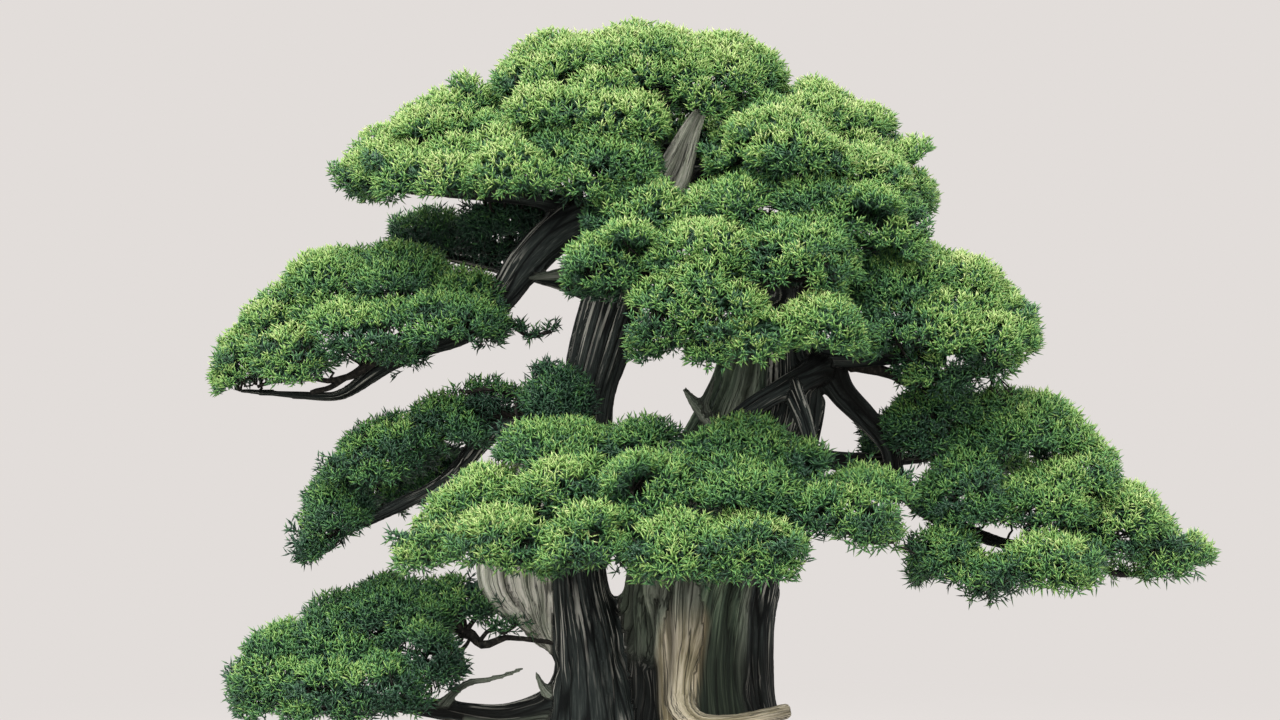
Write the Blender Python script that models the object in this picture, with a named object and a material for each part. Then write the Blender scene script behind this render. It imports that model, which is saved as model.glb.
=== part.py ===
"""Twin-trunk juniper bonsai in a plain rectangular stoneware tray.

Frame: metres, +Z up, the tree's front faces -Y and its long side runs along X.
The origin is on the surface that the pot stands on, under the middle of the whole tree.
The limbs and the foliage are listed in millimetres and scaled by MM.
"""
import math

import bmesh
import bpy
from mathutils import Vector

MM = 0.001

# ---------------------------------------------------------------- driving dimensions
CLEARANCE = 0.0004          # gap kept between neighbouring made pieces
WOOD_GAP = 0.0035           # gap that foliage and soil keep to the wood
PAD_GAP = 0.0060            # gap between neighbouring foliage pads

POT_LENGTH = 0.500          # over the lip, along X
POT_WIDTH = 0.350           # over the lip, along Y
POT_HEIGHT = 0.100          # foot to rim
POT_CORNER = 0.045          # outer corner radius at the lip
INNER_CORNER = 0.012        # least corner radius further in
POT_WALL = 0.011
POT_EDGE = 0.006            # chamfer where the walls meet the base and the floor
POT_TAPER = 0.018           # how far each wall leans in from lip to base
LIP_DEPTH = 0.014
LIP_REACH = 0.007
LIP_EDGE = 0.003            # chamfer on the lip's outer edge; the inner edge and the slope under it follow
FOOT_HEIGHT = 0.013
FOOT_LENGTH = 0.070
FOOT_WIDTH = 0.046
FOOT_INSET = 0.012
FOOT_CORNER = 0.012
FOOT_EDGE = 0.003           # chamfer at the ground, and the same spread where a foot meets the base
FOOT_OVERLAP = 0.004        # how far a foot runs up into the floor
FLOOR_THICKNESS = 0.010
DRAIN_RADIUS = 0.014
DRAIN_OFFSET = 0.115        # drain holes lie this far left and right of the middle

SOIL_BELOW_RIM = 0.007
SOIL_MOUND = 0.020          # rise of the soil from the rim to the trunks
SOIL_SHARES = (0.25, 0.45, 0.65, 0.82, 0.95)    # where the mound's rings lie from the rim to the trunks
TRUNK_BASE = (-0.040, 0.000)

SCREEN_SIDE = 0.046
SCREEN_THICKNESS = 0.0015
SCREEN_CORNER = 0.004
WIRE_RADIUS = 0.00125
WIRE_TOP = 0.052            # height that the wire's ends reach in the soil
WIRE_BELOW_FLOOR = 0.004    # the wire's crossing runs this far under the floor
WIRE_BEND = 0.008

CORNER_STEPS = 4            # segments in each rounded pot corner
DRAIN_SIDES = 20
TRUNK_SIDES = 24
LIMB_SIDES = 14
CUTTER_SIDES = 6
WIRE_SIDES = 8
BEND_STEPS = 5
LIMB_STEPS = 5              # sections between two listed points of a limb
LOBE_SIDES = 20
LOBE_RINGS = 12
UNDERSIDE_RATIO = 0.36      # depth of a lobe below its widest level, against its rise
ALONG_DEPTH = 0.2           # a limb that runs this near to the Y direction takes its side from X

WOOD_VOXEL = 0.0032
WOOD_TRIANGLES = 4200
ROOT_CUTTER_TRIANGLES = 600
PAD_VOXEL = 0.008
PAD_TRIANGLES = 280
WOOD_SMOOTHING = 3
PAD_SMOOTHING = 6

# ---------------------------------------------------------------- limbs: x, y, z, radius (mm)
TRUNKS = {
    "left_trunk": [(-82, 0, 62, 50), (-88, 0, 113, 54), (-93, 0, 181, 42), (-99, 0, 249, 32),
                   (-107, 0, 308, 25), (-106, 8, 385, 25), (-99, 4, 453, 23), (-87, -4, 500, 25),
                   (-73, -12, 546, 25), (-55, -20, 597, 22), (-28, -38, 640, 17), (-14, -54, 674, 10),
                   (-4, -60, 694, 6)],
    "right_trunk": [(10, 5, 62, 80), (8, 5, 113, 86), (-2, 5, 181, 65), (-6, 5, 249, 62), (-4, 5, 308, 66),
                    (25, 5, 385, 55), (51, 5, 453, 46), (57, 5, 504, 38), (66, 5, 555, 28),
                    (72, 5, 610, 18)],
}
FIN_DEPTH_RATIO = 0.6
FIN = [(-130, -3, 242, 5), (-141, -4, 258, 13), (-152, -4, 280, 24), (-161, -4, 305, 32),
       (-155, -4, 345, 32), (-148, -2, 380, 26), (-140, 0, 415, 15), (-128, 0, 440, 8)]
DEADWOOD = {
    "hook": [(-10, -36, 334, 13), (-15, -48, 296, 16), (-18, -50, 262, 17), (-23, -56, 222, 12),
             (-22, -62, 200, 13), (-6, -74, 188, 9), (22, -80, 189, 7), (46, -74, 193, 6.5),
             (69, -62, 197, 6.5)],
    "stub_inner_left": [(4, -32, 436, 8), (-4, -40, 444, 6), (-11, -46, 453, 5), (-19, -50, 464, 2.5)],
    "stub_inner_right": [(4, -32, 436, 7), (-2, -42, 447, 5), (2, -46, 460, 4), (8, -48, 476, 2)],
    "stub_upper_left": [(-82, -10, 566, 9), (-112, -16, 561, 7), (-131, -22, 558, 5),
                        (-151, -26, 556, 2)],
    "stub_low_left": [(-124, -10, 198, 7), (-134, -16, 207, 5), (-139, -18, 215, 3.5),
                      (-143, -18, 224, 2)],
    "twig_low_left": [(-224, -12, 194, 6), (-212, -18, 206, 4), (-200, -20, 215, 3.5),
                      (-186, -20, 217, 3), (-170, -20, 221, 2.6), (-151, -20, 228, 2)],
}
BRANCHES = {
    "crown_left": [(-62, -18, 592, 16), (-98, -14, 612, 11), (-140, -6, 624, 9), (-208, 0, 630, 7),
                   (-270, 0, 634, 5)],
    "crown_right": [(-24, -28, 640, 11), (30, -5, 655, 8), (90, 0, 662, 6), (140, 0, 655, 5)],
    "crown_top": [(-38, -25, 628, 13), (-60, 0, 672, 9), (-80, 10, 705, 6), (-110, 10, 720, 5)],
    "left_upper": [(-70, -18, 610, 20), (-100, -12, 608, 18), (-128, -8, 592, 18), (-152, -5, 568, 17),
                   (-175, -2, 538, 14), (-206, 0, 512, 12), (-245, 0, 497, 10), (-279, 0, 477, 8),
                   (-310, 0, 457, 5), (-345, 0, 457, 4), (-395, 0, 461, 3)],
    "left_shaded": [(-80, 0, 540, 12), (-125, 40, 555, 8), (-180, 80, 568, 6), (-225, 95, 578, 5)],
    "left_middle": [(-100, 0, 470, 14), (-144, -6, 446, 10), (-183, -12, 424, 9), (-217, -16, 386, 7),
                    (-259, -20, 364, 6), (-305, -20, 343, 5)],
    "left_lower": [(-110, 0, 202, 22), (-140, -4, 191, 15), (-174, -6, 185, 12), (-217, -8, 190, 10),
                   (-262, -10, 196, 8), (-320, -10, 202, 6)],
    "front": [(98, 0, 480, 15), (86, -36, 474, 12), (62, -60, 462, 10), (38, -72, 448, 9),
              (10, -84, 426, 8), (-20, -96, 400, 7), (-60, -110, 374, 6), (-120, -120, 352, 5),
              (-180, -130, 340, 5)],
    "front_right": [(70, -56, 466, 9), (82, -80, 430, 7), (90, -96, 390, 6), (96, -110, 356, 5)],
    "right_lower": [(60, 0, 486, 22), (102, 0, 483, 16), (117, 0, 460, 14), (138, 0, 438, 12),
                    (157, -2, 414, 10), (164, -4, 386, 9), (182, -8, 363, 8), (208, -10, 349, 7),
                    (245, -15, 334, 6), (290, -18, 326, 5), (335, -18, 322, 4)],
    "right_middle": [(92, 0, 494, 13), (130, -18, 490, 9), (174, -28, 492, 7), (230, -34, 500, 5)],
    "upper_front": [(62, 0, 528, 16), (66, -40, 545, 11), (52, -80, 556, 8), (10, -110, 560, 6),
                    (-40, -115, 556, 5)],
    "back_upper": [(-60, -10, 585, 14), (-52, 50, 620, 9), (-44, 110, 655, 7), (-40, 150, 680, 5)],
    "back_middle": [(60, 10, 500, 16), (70, 70, 516, 10), (84, 120, 530, 7), (92, 155, 545, 5)],
    "back_lower": [(0, 40, 270, 18), (-8, 90, 300, 11), (-24, 130, 328, 8), (-32, 155, 344, 6)],
    "back_right": [(40, 20, 400, 18), (90, 60, 400, 11), (150, 95, 398, 8), (214, 118, 402, 5)],
    "back_left": [(-104, 10, 372, 14), (-150, 50, 366, 9), (-205, 85, 362, 7), (-255, 100, 366, 5)],
}
# Surface roots: bearing in degrees from +X, start (x, y), reach, radius. Each leaves the trunks,
# runs out along the soil and dives under it, at stations of (share of the reach, z, share of the radius).
ROOTS = [(-158, (-105, -5), 88, 20), (-128, (-95, -20), 80, 16), (-97, (-60, -30), 76, 15),
         (-62, (10, -45), 72, 22), (-28, (45, -30), 92, 24), (6, (60, 5), 84, 20), (48, (40, 35), 86, 22),
         (92, (-10, 45), 78, 20), (128, (-80, 25), 84, 18), (165, (-110, 8), 78, 16)]
ROOT_STATIONS = [(-0.30, 158, 0.75), (0.05, 132, 1.0), (0.35, 114, 0.80), (0.70, 104, 0.60),
                 (1.0, 92, 0.36)]

# ---------------------------------------------------------------- foliage lobes
# Each lobe: x, y, level of its widest outline, half length, half depth, rise (mm).
PADS = {
    "foliage_crown_top": [(-55, 10, 725, 90, 95, 52), (-122, 10, 714, 62, 85, 56),
        (13, 15, 716, 60, 80, 55), (-96, -65, 687, 70, 50, 35), (-5, -46, 706, 42, 38, 31),
        (-62, -80, 676, 38, 40, 28)],
    "foliage_crown_left": [(-210, 10, 676, 64, 90, 46), (-261, 0, 650, 50, 70, 44),
        (-283, -5, 634, 37, 55, 34), (-227, -70, 637, 58, 45, 35), (-154, -70, 654, 62, 45, 42),
        (-140, -105, 628, 70, 45, 32), (-78, -90, 645, 42, 42, 32), (-205, -95, 628, 50, 40, 26)],
    "foliage_crown_right": [(82, 10, 683, 64, 90, 45), (132, 5, 662, 43, 70, 46),
        (161, 0, 623, 39, 55, 41), (58, -80, 668, 44, 45, 36), (68, -100, 648, 60, 45, 34),
        (130, -60, 632, 43, 45, 40), (32, -82, 656, 32, 42, 32)],
    "foliage_upper_front": [(-55, -90, 597, 49, 55, 38), (27, -80, 606, 49, 60, 38),
        (92, -80, 608, 62, 60, 36), (144, -80, 587, 35, 50, 38)],
    "foliage_upper_skirt": [(-73, -125, 555, 50, 45, 42), (-7, -135, 562, 53, 45, 42),
        (74, -130, 560, 50, 50, 44), (-8, -165, 530, 47, 35, 36), (-33, -150, 499, 35, 40, 36),
        (28, -165, 499, 47, 40, 36), (92, -160, 503, 38, 40, 40)],
    "foliage_right_middle": [(203, -30, 546, 50, 75, 39), (241, -30, 511, 40, 65, 46),
        (160, -60, 545, 46, 60, 40), (181, -95, 507, 59, 45, 42), (234, -75, 495, 38, 45, 36),
        (202, -66, 471, 52, 38, 26)],
    "foliage_right_lower": [(192, 0, 426, 48, 60, 42), (267, 5, 426, 61, 70, 41),
        (314, 0, 400, 36, 60, 37), (212, -55, 367, 46, 45, 46), (277, -45, 360, 50, 50, 46),
        (350, -15, 348, 45, 60, 36), (389, -15, 322, 34, 50, 29), (240, -25, 402, 60, 50, 34),
        (302, -25, 386, 54, 50, 36), (346, -25, 326, 42, 45, 32)],
    "foliage_right_front": [(196, -78, 318, 35, 40, 28), (236, -82, 302, 38, 40, 26),
        (284, -90, 316, 41, 40, 38)],
    "foliage_left_upper": [(-396, 0, 473, 30, 45, 38), (-364, 0, 497, 40, 55, 54),
        (-317, 5, 538, 49, 65, 51), (-258, 5, 547, 51, 65, 46), (-201, 0, 533, 40, 55, 37),
        (-285, -56, 498, 65, 40, 46), (-214, -60, 516, 53, 40, 32), (-346, -46, 480, 40, 35, 40),
        (-180, -14, 508, 26, 40, 20)],
    "foliage_left_shaded": [(-232, 95, 588, 51, 45, 34), (-183, 85, 576, 34, 35, 30),
        (-162, 48, 606, 48, 44, 32)],
    "foliage_left_middle": [(-309, -20, 352, 33, 50, 46), (-264, -20, 401, 47, 55, 43),
        (-220, -20, 422, 34, 45, 36), (-288, -52, 392, 36, 35, 26), (-329, -20, 326, 20, 32, 22)],
    "foliage_left_inner": [(-181, -25, 453, 40, 40, 22), (-125, -52, 450, 32, 30, 20)],
    "foliage_left_lower": [(-352, -10, 206, 56, 65, 62), (-306, 0, 236, 51, 70, 57),
        (-260, 5, 258, 54, 60, 52), (-293, -70, 202, 64, 40, 42), (-228, -50, 227, 33, 40, 40),
        (-208, 20, 278, 29, 40, 30)],
    "foliage_front_left": [(-127, -95, 414, 49, 45, 29), (-180, -120, 371, 45, 45, 34),
        (-219, -130, 334, 38, 45, 32), (-117, -135, 378, 48, 45, 38), (-168, -165, 334, 46, 45, 40)],
    "foliage_front_centre": [(-50, -90, 413, 51, 45, 29), (18, -110, 414, 49, 40, 28),
        (-42, -145, 374, 45, 45, 38), (26, -150, 374, 46, 40, 38), (-92, -185, 332, 47, 40, 38),
        (-30, -187, 331, 45, 40, 40), (33, -185, 332, 42, 40, 40)],
    "foliage_front_right": [(72, -110, 393, 38, 45, 25), (130, -110, 380, 37, 40, 25),
        (84, -140, 359, 37, 40, 36), (116, -145, 350, 40, 40, 26)],
    "foliage_back_upper": [(-127, 150, 677, 72, 60, 54), (-37, 165, 690, 77, 62, 58),
        (53, 150, 677, 77, 60, 52)],
    "foliage_back_middle": [(17, 150, 541, 63, 60, 45), (91, 168, 560, 68, 60, 52),
        (162, 150, 541, 63, 60, 46)],
    "foliage_back_right": [(186, 112, 412, 50, 50, 34), (240, 124, 398, 50, 52, 38)],
    "foliage_back_left": [(-232, 92, 378, 44, 46, 32), (-284, 104, 362, 44, 50, 34)],
    "foliage_back_lower": [(-100, 140, 343, 63, 60, 36), (-28, 162, 356, 68, 62, 44),
        (39, 140, 343, 54, 60, 38)],
}


# ---------------------------------------------------------------- scene and material helpers
def clear_scene():
    for old in list(bpy.data.objects):
        bpy.data.objects.remove(old, do_unlink=True)


def make_material(name, colour, roughness):
    material = bpy.data.materials.new(name)
    material.use_nodes = True
    shader = material.node_tree.nodes["Principled BSDF"]
    shader.inputs["Base Color"].default_value = (*colour, 1.0)
    shader.inputs["Roughness"].default_value = roughness
    shader.inputs["Metallic"].default_value = 0.0
    return material


def add_object(name, mesh, material=None):
    obj = bpy.data.objects.new(name, mesh)
    bpy.context.scene.collection.objects.link(obj)
    if material:
        mesh.materials.clear()
        mesh.materials.append(material)
    return obj


def mesh_from(bm, name):
    bmesh.ops.recalc_face_normals(bm, faces=bm.faces)
    mesh = bpy.data.meshes.new(name)
    bm.to_mesh(mesh)
    bm.free()
    return mesh


def evaluated_mesh(obj):
    graph = bpy.context.evaluated_depsgraph_get()
    return bpy.data.meshes.new_from_object(obj.evaluated_get(graph), depsgraph=graph)


def bake_modifiers(obj):
    """Keep the shape that the modifiers give, and drop the modifiers."""
    mesh = evaluated_mesh(obj)
    obj.modifiers.clear()
    obj.data = mesh


def as_guide(obj):
    obj.hide_render = True
    obj.display_type = "WIRE"
    return obj


def add_boolean(obj, other, operation):
    modifier = obj.modifiers.new(other.name, "BOOLEAN")
    modifier.operation = operation
    modifier.solver = "EXACT"
    modifier.object = other


def keep_largest_body(obj):
    """Drop the chips that a cut leaves, so that the node stays one solid."""
    bm = bmesh.new()
    bm.from_mesh(obj.data)
    bodies = []
    unseen = set(bm.faces)
    while unseen:
        body = [unseen.pop()]
        for face in body:
            shared = [edge for edge in face.edges if edge.is_manifold]
            beyond = {other for edge in shared for other in edge.link_faces} & unseen
            unseen -= beyond
            body.extend(beyond)
        bodies.append(body)
    bodies.sort(key=len)
    chips = [face for body in bodies[:-1] for face in body]
    bmesh.ops.delete(bm, geom=chips, context="FACES")
    bm.to_mesh(obj.data)
    bm.free()


# ---------------------------------------------------------------- sweeps and lobes
def spline(points, steps):
    """Catmull-Rom curve through (x, y, z, radius) points given in millimetres."""
    knots = [Vector(point) * MM for point in points]
    knots = [knots[0] * 2 - knots[1]] + knots + [knots[-1] * 2 - knots[-2]]
    curve = []
    for a, b, c, d in zip(knots, knots[1:], knots[2:], knots[3:]):
        for step in range(steps):
            t = step / steps
            curve.append(0.5 * (2 * b + (c - a) * t + (2 * a - 5 * b + 4 * c - d) * t * t
                                + (3 * b - a - 3 * c + d) * t ** 3))
    return curve + [knots[-2]]


def add_tube(bm, points, sides, depth_ratio=1.0, steps=LIMB_STEPS):
    """Closed tube along a limb; depth_ratio flattens its section along Y."""
    curve = spline(points, steps)
    centres = [Vector(p[:3]) for p in curve]
    rings = []
    for index, (centre, point) in enumerate(zip(centres, curve)):
        tangent = (centres[min(index + 1, len(centres) - 1)] - centres[max(index - 1, 0)]).normalized()
        side = Vector((0, 1, 0)).cross(tangent)
        if side.length < ALONG_DEPTH:
            side = Vector((1, 0, 0))
        side.normalize()
        depth = tangent.cross(side).normalized()
        ring = []
        for corner in range(sides):
            angle = math.tau * corner / sides
            offset = side * math.cos(angle) + depth * math.sin(angle) * depth_ratio
            ring.append(bm.verts.new(centre + offset * point[3]))
        rings.append(ring)
    for low, high in zip(rings, rings[1:]):
        for corner in range(sides):
            after = (corner + 1) % sides
            bm.faces.new((low[corner], low[after], high[after], high[corner]))
    bm.faces.new(rings[0][::-1])
    bm.faces.new(rings[-1])


def add_lobe(bm, lobe, grow=0.0):
    """Cushion shape: a full dome above its widest level and a shallow one below."""
    x, y, level, half_length, half_depth, rise = [value * MM for value in lobe]
    made = bmesh.ops.create_uvsphere(bm, u_segments=LOBE_SIDES, v_segments=LOBE_RINGS, radius=1.0)
    for vert in made["verts"]:
        height = rise if vert.co.z > 0 else rise * UNDERSIDE_RATIO
        vert.co = Vector((x + vert.co.x * (half_length + grow), y + vert.co.y * (half_depth + grow),
                          level + vert.co.z * (height + grow)))


def fuse(obj, voxel, smoothing, triangles):
    """Fuse overlapping shapes into one skin of about the given number of triangles."""
    remesh = obj.modifiers.new("fuse", "REMESH")
    remesh.mode = "VOXEL"
    remesh.voxel_size = voxel
    smooth = obj.modifiers.new("smooth", "SMOOTH")
    smooth.iterations = smoothing
    bake_modifiers(obj)
    decimate = obj.modifiers.new("reduce", "DECIMATE")
    decimate.ratio = triangles / (2 * len(obj.data.polygons))
    bake_modifiers(obj)
    keep_largest_body(obj)


# ---------------------------------------------------------------- tree
def root_limb(bearing, start, reach, radius):
    direction = Vector((math.cos(math.radians(bearing)), math.sin(math.radians(bearing))))
    limb = []
    for share, height, thickness in ROOT_STATIONS:
        place = Vector(start) + direction * reach * share
        limb.append((place.x, place.y, height, radius * thickness))
    return limb


def all_limbs():
    """Every limb as (name, points, depth ratio)."""
    groups = (TRUNKS, DEADWOOD, BRANCHES)
    limbs = [(name, points, 1.0) for group in groups for name, points in group.items()]
    limbs.append(("fin", FIN, FIN_DEPTH_RATIO))
    limbs += [(f"root_{index}", root_limb(*root), 1.0) for index, root in enumerate(ROOTS)]
    return limbs


def make_wood(material):
    bm = bmesh.new()
    for name, points, depth_ratio in all_limbs():
        add_tube(bm, points, TRUNK_SIDES if name in TRUNKS else LIMB_SIDES, depth_ratio)
    wood = add_object("trunk_and_branches", mesh_from(bm, "trunk_and_branches"), material)
    fuse(wood, WOOD_VOXEL, WOOD_SMOOTHING, WOOD_TRIANGLES)


def fattened(points):
    """A limb's points, a little thicker all along and longer at both ends."""
    gap = WOOD_GAP / MM
    fat = [Vector((*point[:3], point[3] + gap)) for point in points]
    for end, inner in ((0, 1), (-1, -2)):
        outward = (fat[end] - fat[inner]).to_3d().normalized() * gap
        fat[end] = Vector((*(fat[end].to_3d() + outward), fat[end][3]))
    return fat


def make_limb_cutter(name, points, depth_ratio):
    bm = bmesh.new()
    add_tube(bm, fattened(points), CUTTER_SIDES, depth_ratio)
    return as_guide(add_object("guide_" + name, mesh_from(bm, name)))


def make_root_cutter():
    """Guide for the trunks' feet and the roots together, with the same fillets as the wood."""
    bm = bmesh.new()
    for points in TRUNKS.values():
        add_tube(bm, fattened(points[:4]), TRUNK_SIDES)
    for root in ROOTS:
        add_tube(bm, fattened(root_limb(*root)), LIMB_SIDES)
    cutter = as_guide(add_object("guide_roots", mesh_from(bm, "guide_roots")))
    fuse(cutter, WOOD_VOXEL, WOOD_SMOOTHING, ROOT_CUTTER_TRIANGLES)
    return cutter


def make_skin(name, lobes, material=None, grow=0.0):
    bm = bmesh.new()
    for lobe in lobes:
        add_lobe(bm, lobe, grow)
    skin = add_object(name, mesh_from(bm, name), material)
    fuse(skin, PAD_VOXEL, PAD_SMOOTHING, PAD_TRIANGLES)
    return skin


def make_pad(name, lobes, material, neighbours):
    pad = make_skin(name, lobes, material)
    for neighbour in neighbours:
        if boxes_meet(pad, neighbour):
            add_boolean(pad, neighbour, "DIFFERENCE")
    bake_modifiers(pad)
    keep_largest_body(pad)
    return pad


def span(obj, axis):
    places = [vert.co[axis] for vert in obj.data.vertices]
    return min(places), max(places)


def boxes_meet(one, other):
    for axis in range(3):
        low, high = span(one, axis)
        other_low, other_high = span(other, axis)
        if low > other_high or other_low > high:
            return False
    return True


# ---------------------------------------------------------------- pot, soil and fittings
def rounded_ring(bm, half_x, half_y, corner, z, centre=(0.0, 0.0)):
    """Ring of vertices round a rectangle with round corners."""
    ring = []
    quarters = ((1, 1, 0), (-1, 1, 90), (-1, -1, 180), (1, -1, 270))
    for sign_x, sign_y, start in quarters:
        for step in range(CORNER_STEPS + 1):
            angle = math.radians(start + 90 * step / CORNER_STEPS)
            x = centre[0] + sign_x * (half_x - corner) + corner * math.cos(angle)
            y = centre[1] + sign_y * (half_y - corner) + corner * math.sin(angle)
            ring.append(bm.verts.new((x, y, z)))
    return ring


def loft(bm, rings):
    """Join rings into one closed skin, with a face across the first and the last."""
    for low, high in zip(rings, rings[1:]):
        for index in range(len(low)):
            after = (index + 1) % len(low)
            bm.faces.new((low[index], low[after], high[after], high[index]))
    bm.faces.new(rings[0][::-1])
    bm.faces.new(rings[-1])


def wall_inset(z):
    """How far the pot's outer wall lies inside its lip line at a height."""
    share = (POT_HEIGHT - z) / (POT_HEIGHT - FOOT_HEIGHT)
    return LIP_REACH + POT_TAPER * share


def pot_ring(bm, inset, z):
    corner = max(POT_CORNER - inset, INNER_CORNER)
    return rounded_ring(bm, POT_LENGTH / 2 - inset, POT_WIDTH / 2 - inset, corner, z)


def box_guide(name, centre, size):
    bm = bmesh.new()
    bmesh.ops.create_cube(bm, size=1.0)
    for vert in bm.verts:
        vert.co = Vector(centre) + Vector([vert.co[axis] * size[axis] for axis in range(3)])
    return as_guide(add_object(name, mesh_from(bm, name)))


def drain_guide(name, x):
    bm = bmesh.new()
    bmesh.ops.create_cone(bm, cap_ends=True, segments=DRAIN_SIDES, radius1=DRAIN_RADIUS,
                          radius2=DRAIN_RADIUS, depth=4 * FLOOR_THICKNESS)
    bmesh.ops.translate(bm, verts=bm.verts, vec=(x, 0, FOOT_HEIGHT + FLOOR_THICKNESS / 2))
    return as_guide(add_object(name, mesh_from(bm, name)))


def foot_guide(name, sign_x, sign_y):
    """Low block foot under a corner; it runs up into the floor so that the union joins it."""
    bm = bmesh.new()
    centre = (sign_x * (POT_LENGTH / 2 - wall_inset(FOOT_HEIGHT) - FOOT_INSET - FOOT_LENGTH / 2),
              sign_y * (POT_WIDTH / 2 - wall_inset(FOOT_HEIGHT) - FOOT_INSET - FOOT_WIDTH / 2))
    rings = []
    profile = [(-FOOT_EDGE, 0.0), (0.0, FOOT_EDGE), (0.0, FOOT_HEIGHT - FOOT_EDGE),
               (FOOT_EDGE, FOOT_HEIGHT + FOOT_OVERLAP)]
    for spread, z in profile:
        half_length = FOOT_LENGTH / 2 + spread
        half_width = FOOT_WIDTH / 2 + spread
        rings.append(rounded_ring(bm, half_length, half_width, FOOT_CORNER, z, centre))
    loft(bm, rings)
    return as_guide(add_object(name, mesh_from(bm, name)))


def make_pot(material):
    lip_low = POT_HEIGHT - LIP_DEPTH
    lip_slope = LIP_EDGE * 4 / 3
    inner_edge = LIP_EDGE * 2 / 3
    floor = FOOT_HEIGHT + FLOOR_THICKNESS
    bm = bmesh.new()
    profile = [(wall_inset(FOOT_HEIGHT) + POT_EDGE, FOOT_HEIGHT),
               (wall_inset(FOOT_HEIGHT), FOOT_HEIGHT + POT_EDGE),
               (wall_inset(lip_low), lip_low), (0.0, lip_low + lip_slope), (0.0, POT_HEIGHT - LIP_EDGE),
               (LIP_EDGE, POT_HEIGHT), (LIP_REACH + POT_WALL - inner_edge, POT_HEIGHT),
               (LIP_REACH + POT_WALL, POT_HEIGHT - inner_edge),
               (wall_inset(floor) + POT_WALL, floor + POT_EDGE),
               (wall_inset(floor) + POT_WALL + POT_EDGE, floor)]
    loft(bm, [pot_ring(bm, inset, z) for inset, z in profile])
    pot = add_object("pot", mesh_from(bm, "pot"), material)
    for sign_x in (-1, 1):
        for sign_y in (-1, 1):
            add_boolean(pot, foot_guide(f"guide_foot_{sign_x}_{sign_y}", sign_x, sign_y), "UNION")
    for side, x in (("left", -DRAIN_OFFSET), ("right", DRAIN_OFFSET)):
        add_boolean(pot, drain_guide(f"guide_drain_{side}", x), "DIFFERENCE")
    return pot


def make_screen(name, x, material, wire_guide):
    bottom = FOOT_HEIGHT + FLOOR_THICKNESS + CLEARANCE
    bm = bmesh.new()
    loft(bm, [rounded_ring(bm, SCREEN_SIDE / 2, SCREEN_SIDE / 2, SCREEN_CORNER, z, (x, 0.0))
              for z in (bottom, bottom + SCREEN_THICKNESS)])
    screen = add_object(name, mesh_from(bm, name), material)
    add_boolean(screen, wire_guide, "DIFFERENCE")
    return screen


def wire_route(radius):
    """Tie wire: up from one drain hole's screen, across under the floor and up through the other."""
    low = FOOT_HEIGHT - WIRE_BELOW_FLOOR
    half = [(DRAIN_OFFSET, WIRE_TOP), (DRAIN_OFFSET, (WIRE_TOP + low) / 2)]
    for step in range(BEND_STEPS + 1):
        angle = math.pi / 2 * step / BEND_STEPS
        half.append((DRAIN_OFFSET - WIRE_BEND * (1 - math.cos(angle)),
                     low + WIRE_BEND * (1 - math.sin(angle))))
    route = [(-x, 0, z, radius) for x, z in half] + [(x, 0, z, radius) for x, z in reversed(half)]
    return [Vector(point) / MM for point in route]


def make_wire(name, radius, material=None):
    bm = bmesh.new()
    add_tube(bm, wire_route(radius), WIRE_SIDES, steps=1)
    return add_object(name, mesh_from(bm, name), material)


def make_soil(material, cutters):
    floor = FOOT_HEIGHT + FLOOR_THICKNESS
    edge = POT_HEIGHT - SOIL_BELOW_RIM
    gap = CLEARANCE * 1.5
    bm = bmesh.new()
    rings = [pot_ring(bm, wall_inset(floor) + POT_WALL + POT_EDGE + gap, floor + CLEARANCE),
             pot_ring(bm, wall_inset(floor) + POT_WALL + gap, floor + POT_EDGE + CLEARANCE),
             pot_ring(bm, wall_inset(edge) + POT_WALL + gap, edge)]
    inset = wall_inset(edge) + POT_WALL + gap
    for share in SOIL_SHARES:
        half_x = (POT_LENGTH / 2 - inset) * (1 - share)
        half_y = (POT_WIDTH / 2 - inset) * (1 - share)
        centre = (TRUNK_BASE[0] * share, TRUNK_BASE[1] * share)
        rise = SOIL_MOUND * math.sin(math.pi / 2 * share)
        rings.append(rounded_ring(bm, half_x, half_y, half_y * (0.3 + 0.6 * share), edge + rise, centre))
    loft(bm, rings)
    soil = add_object("soil", mesh_from(bm, "soil"), material)
    for cutter in cutters:
        add_boolean(soil, cutter, "DIFFERENCE")
    bake_modifiers(soil)
    keep_largest_body(soil)
    return soil


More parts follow.
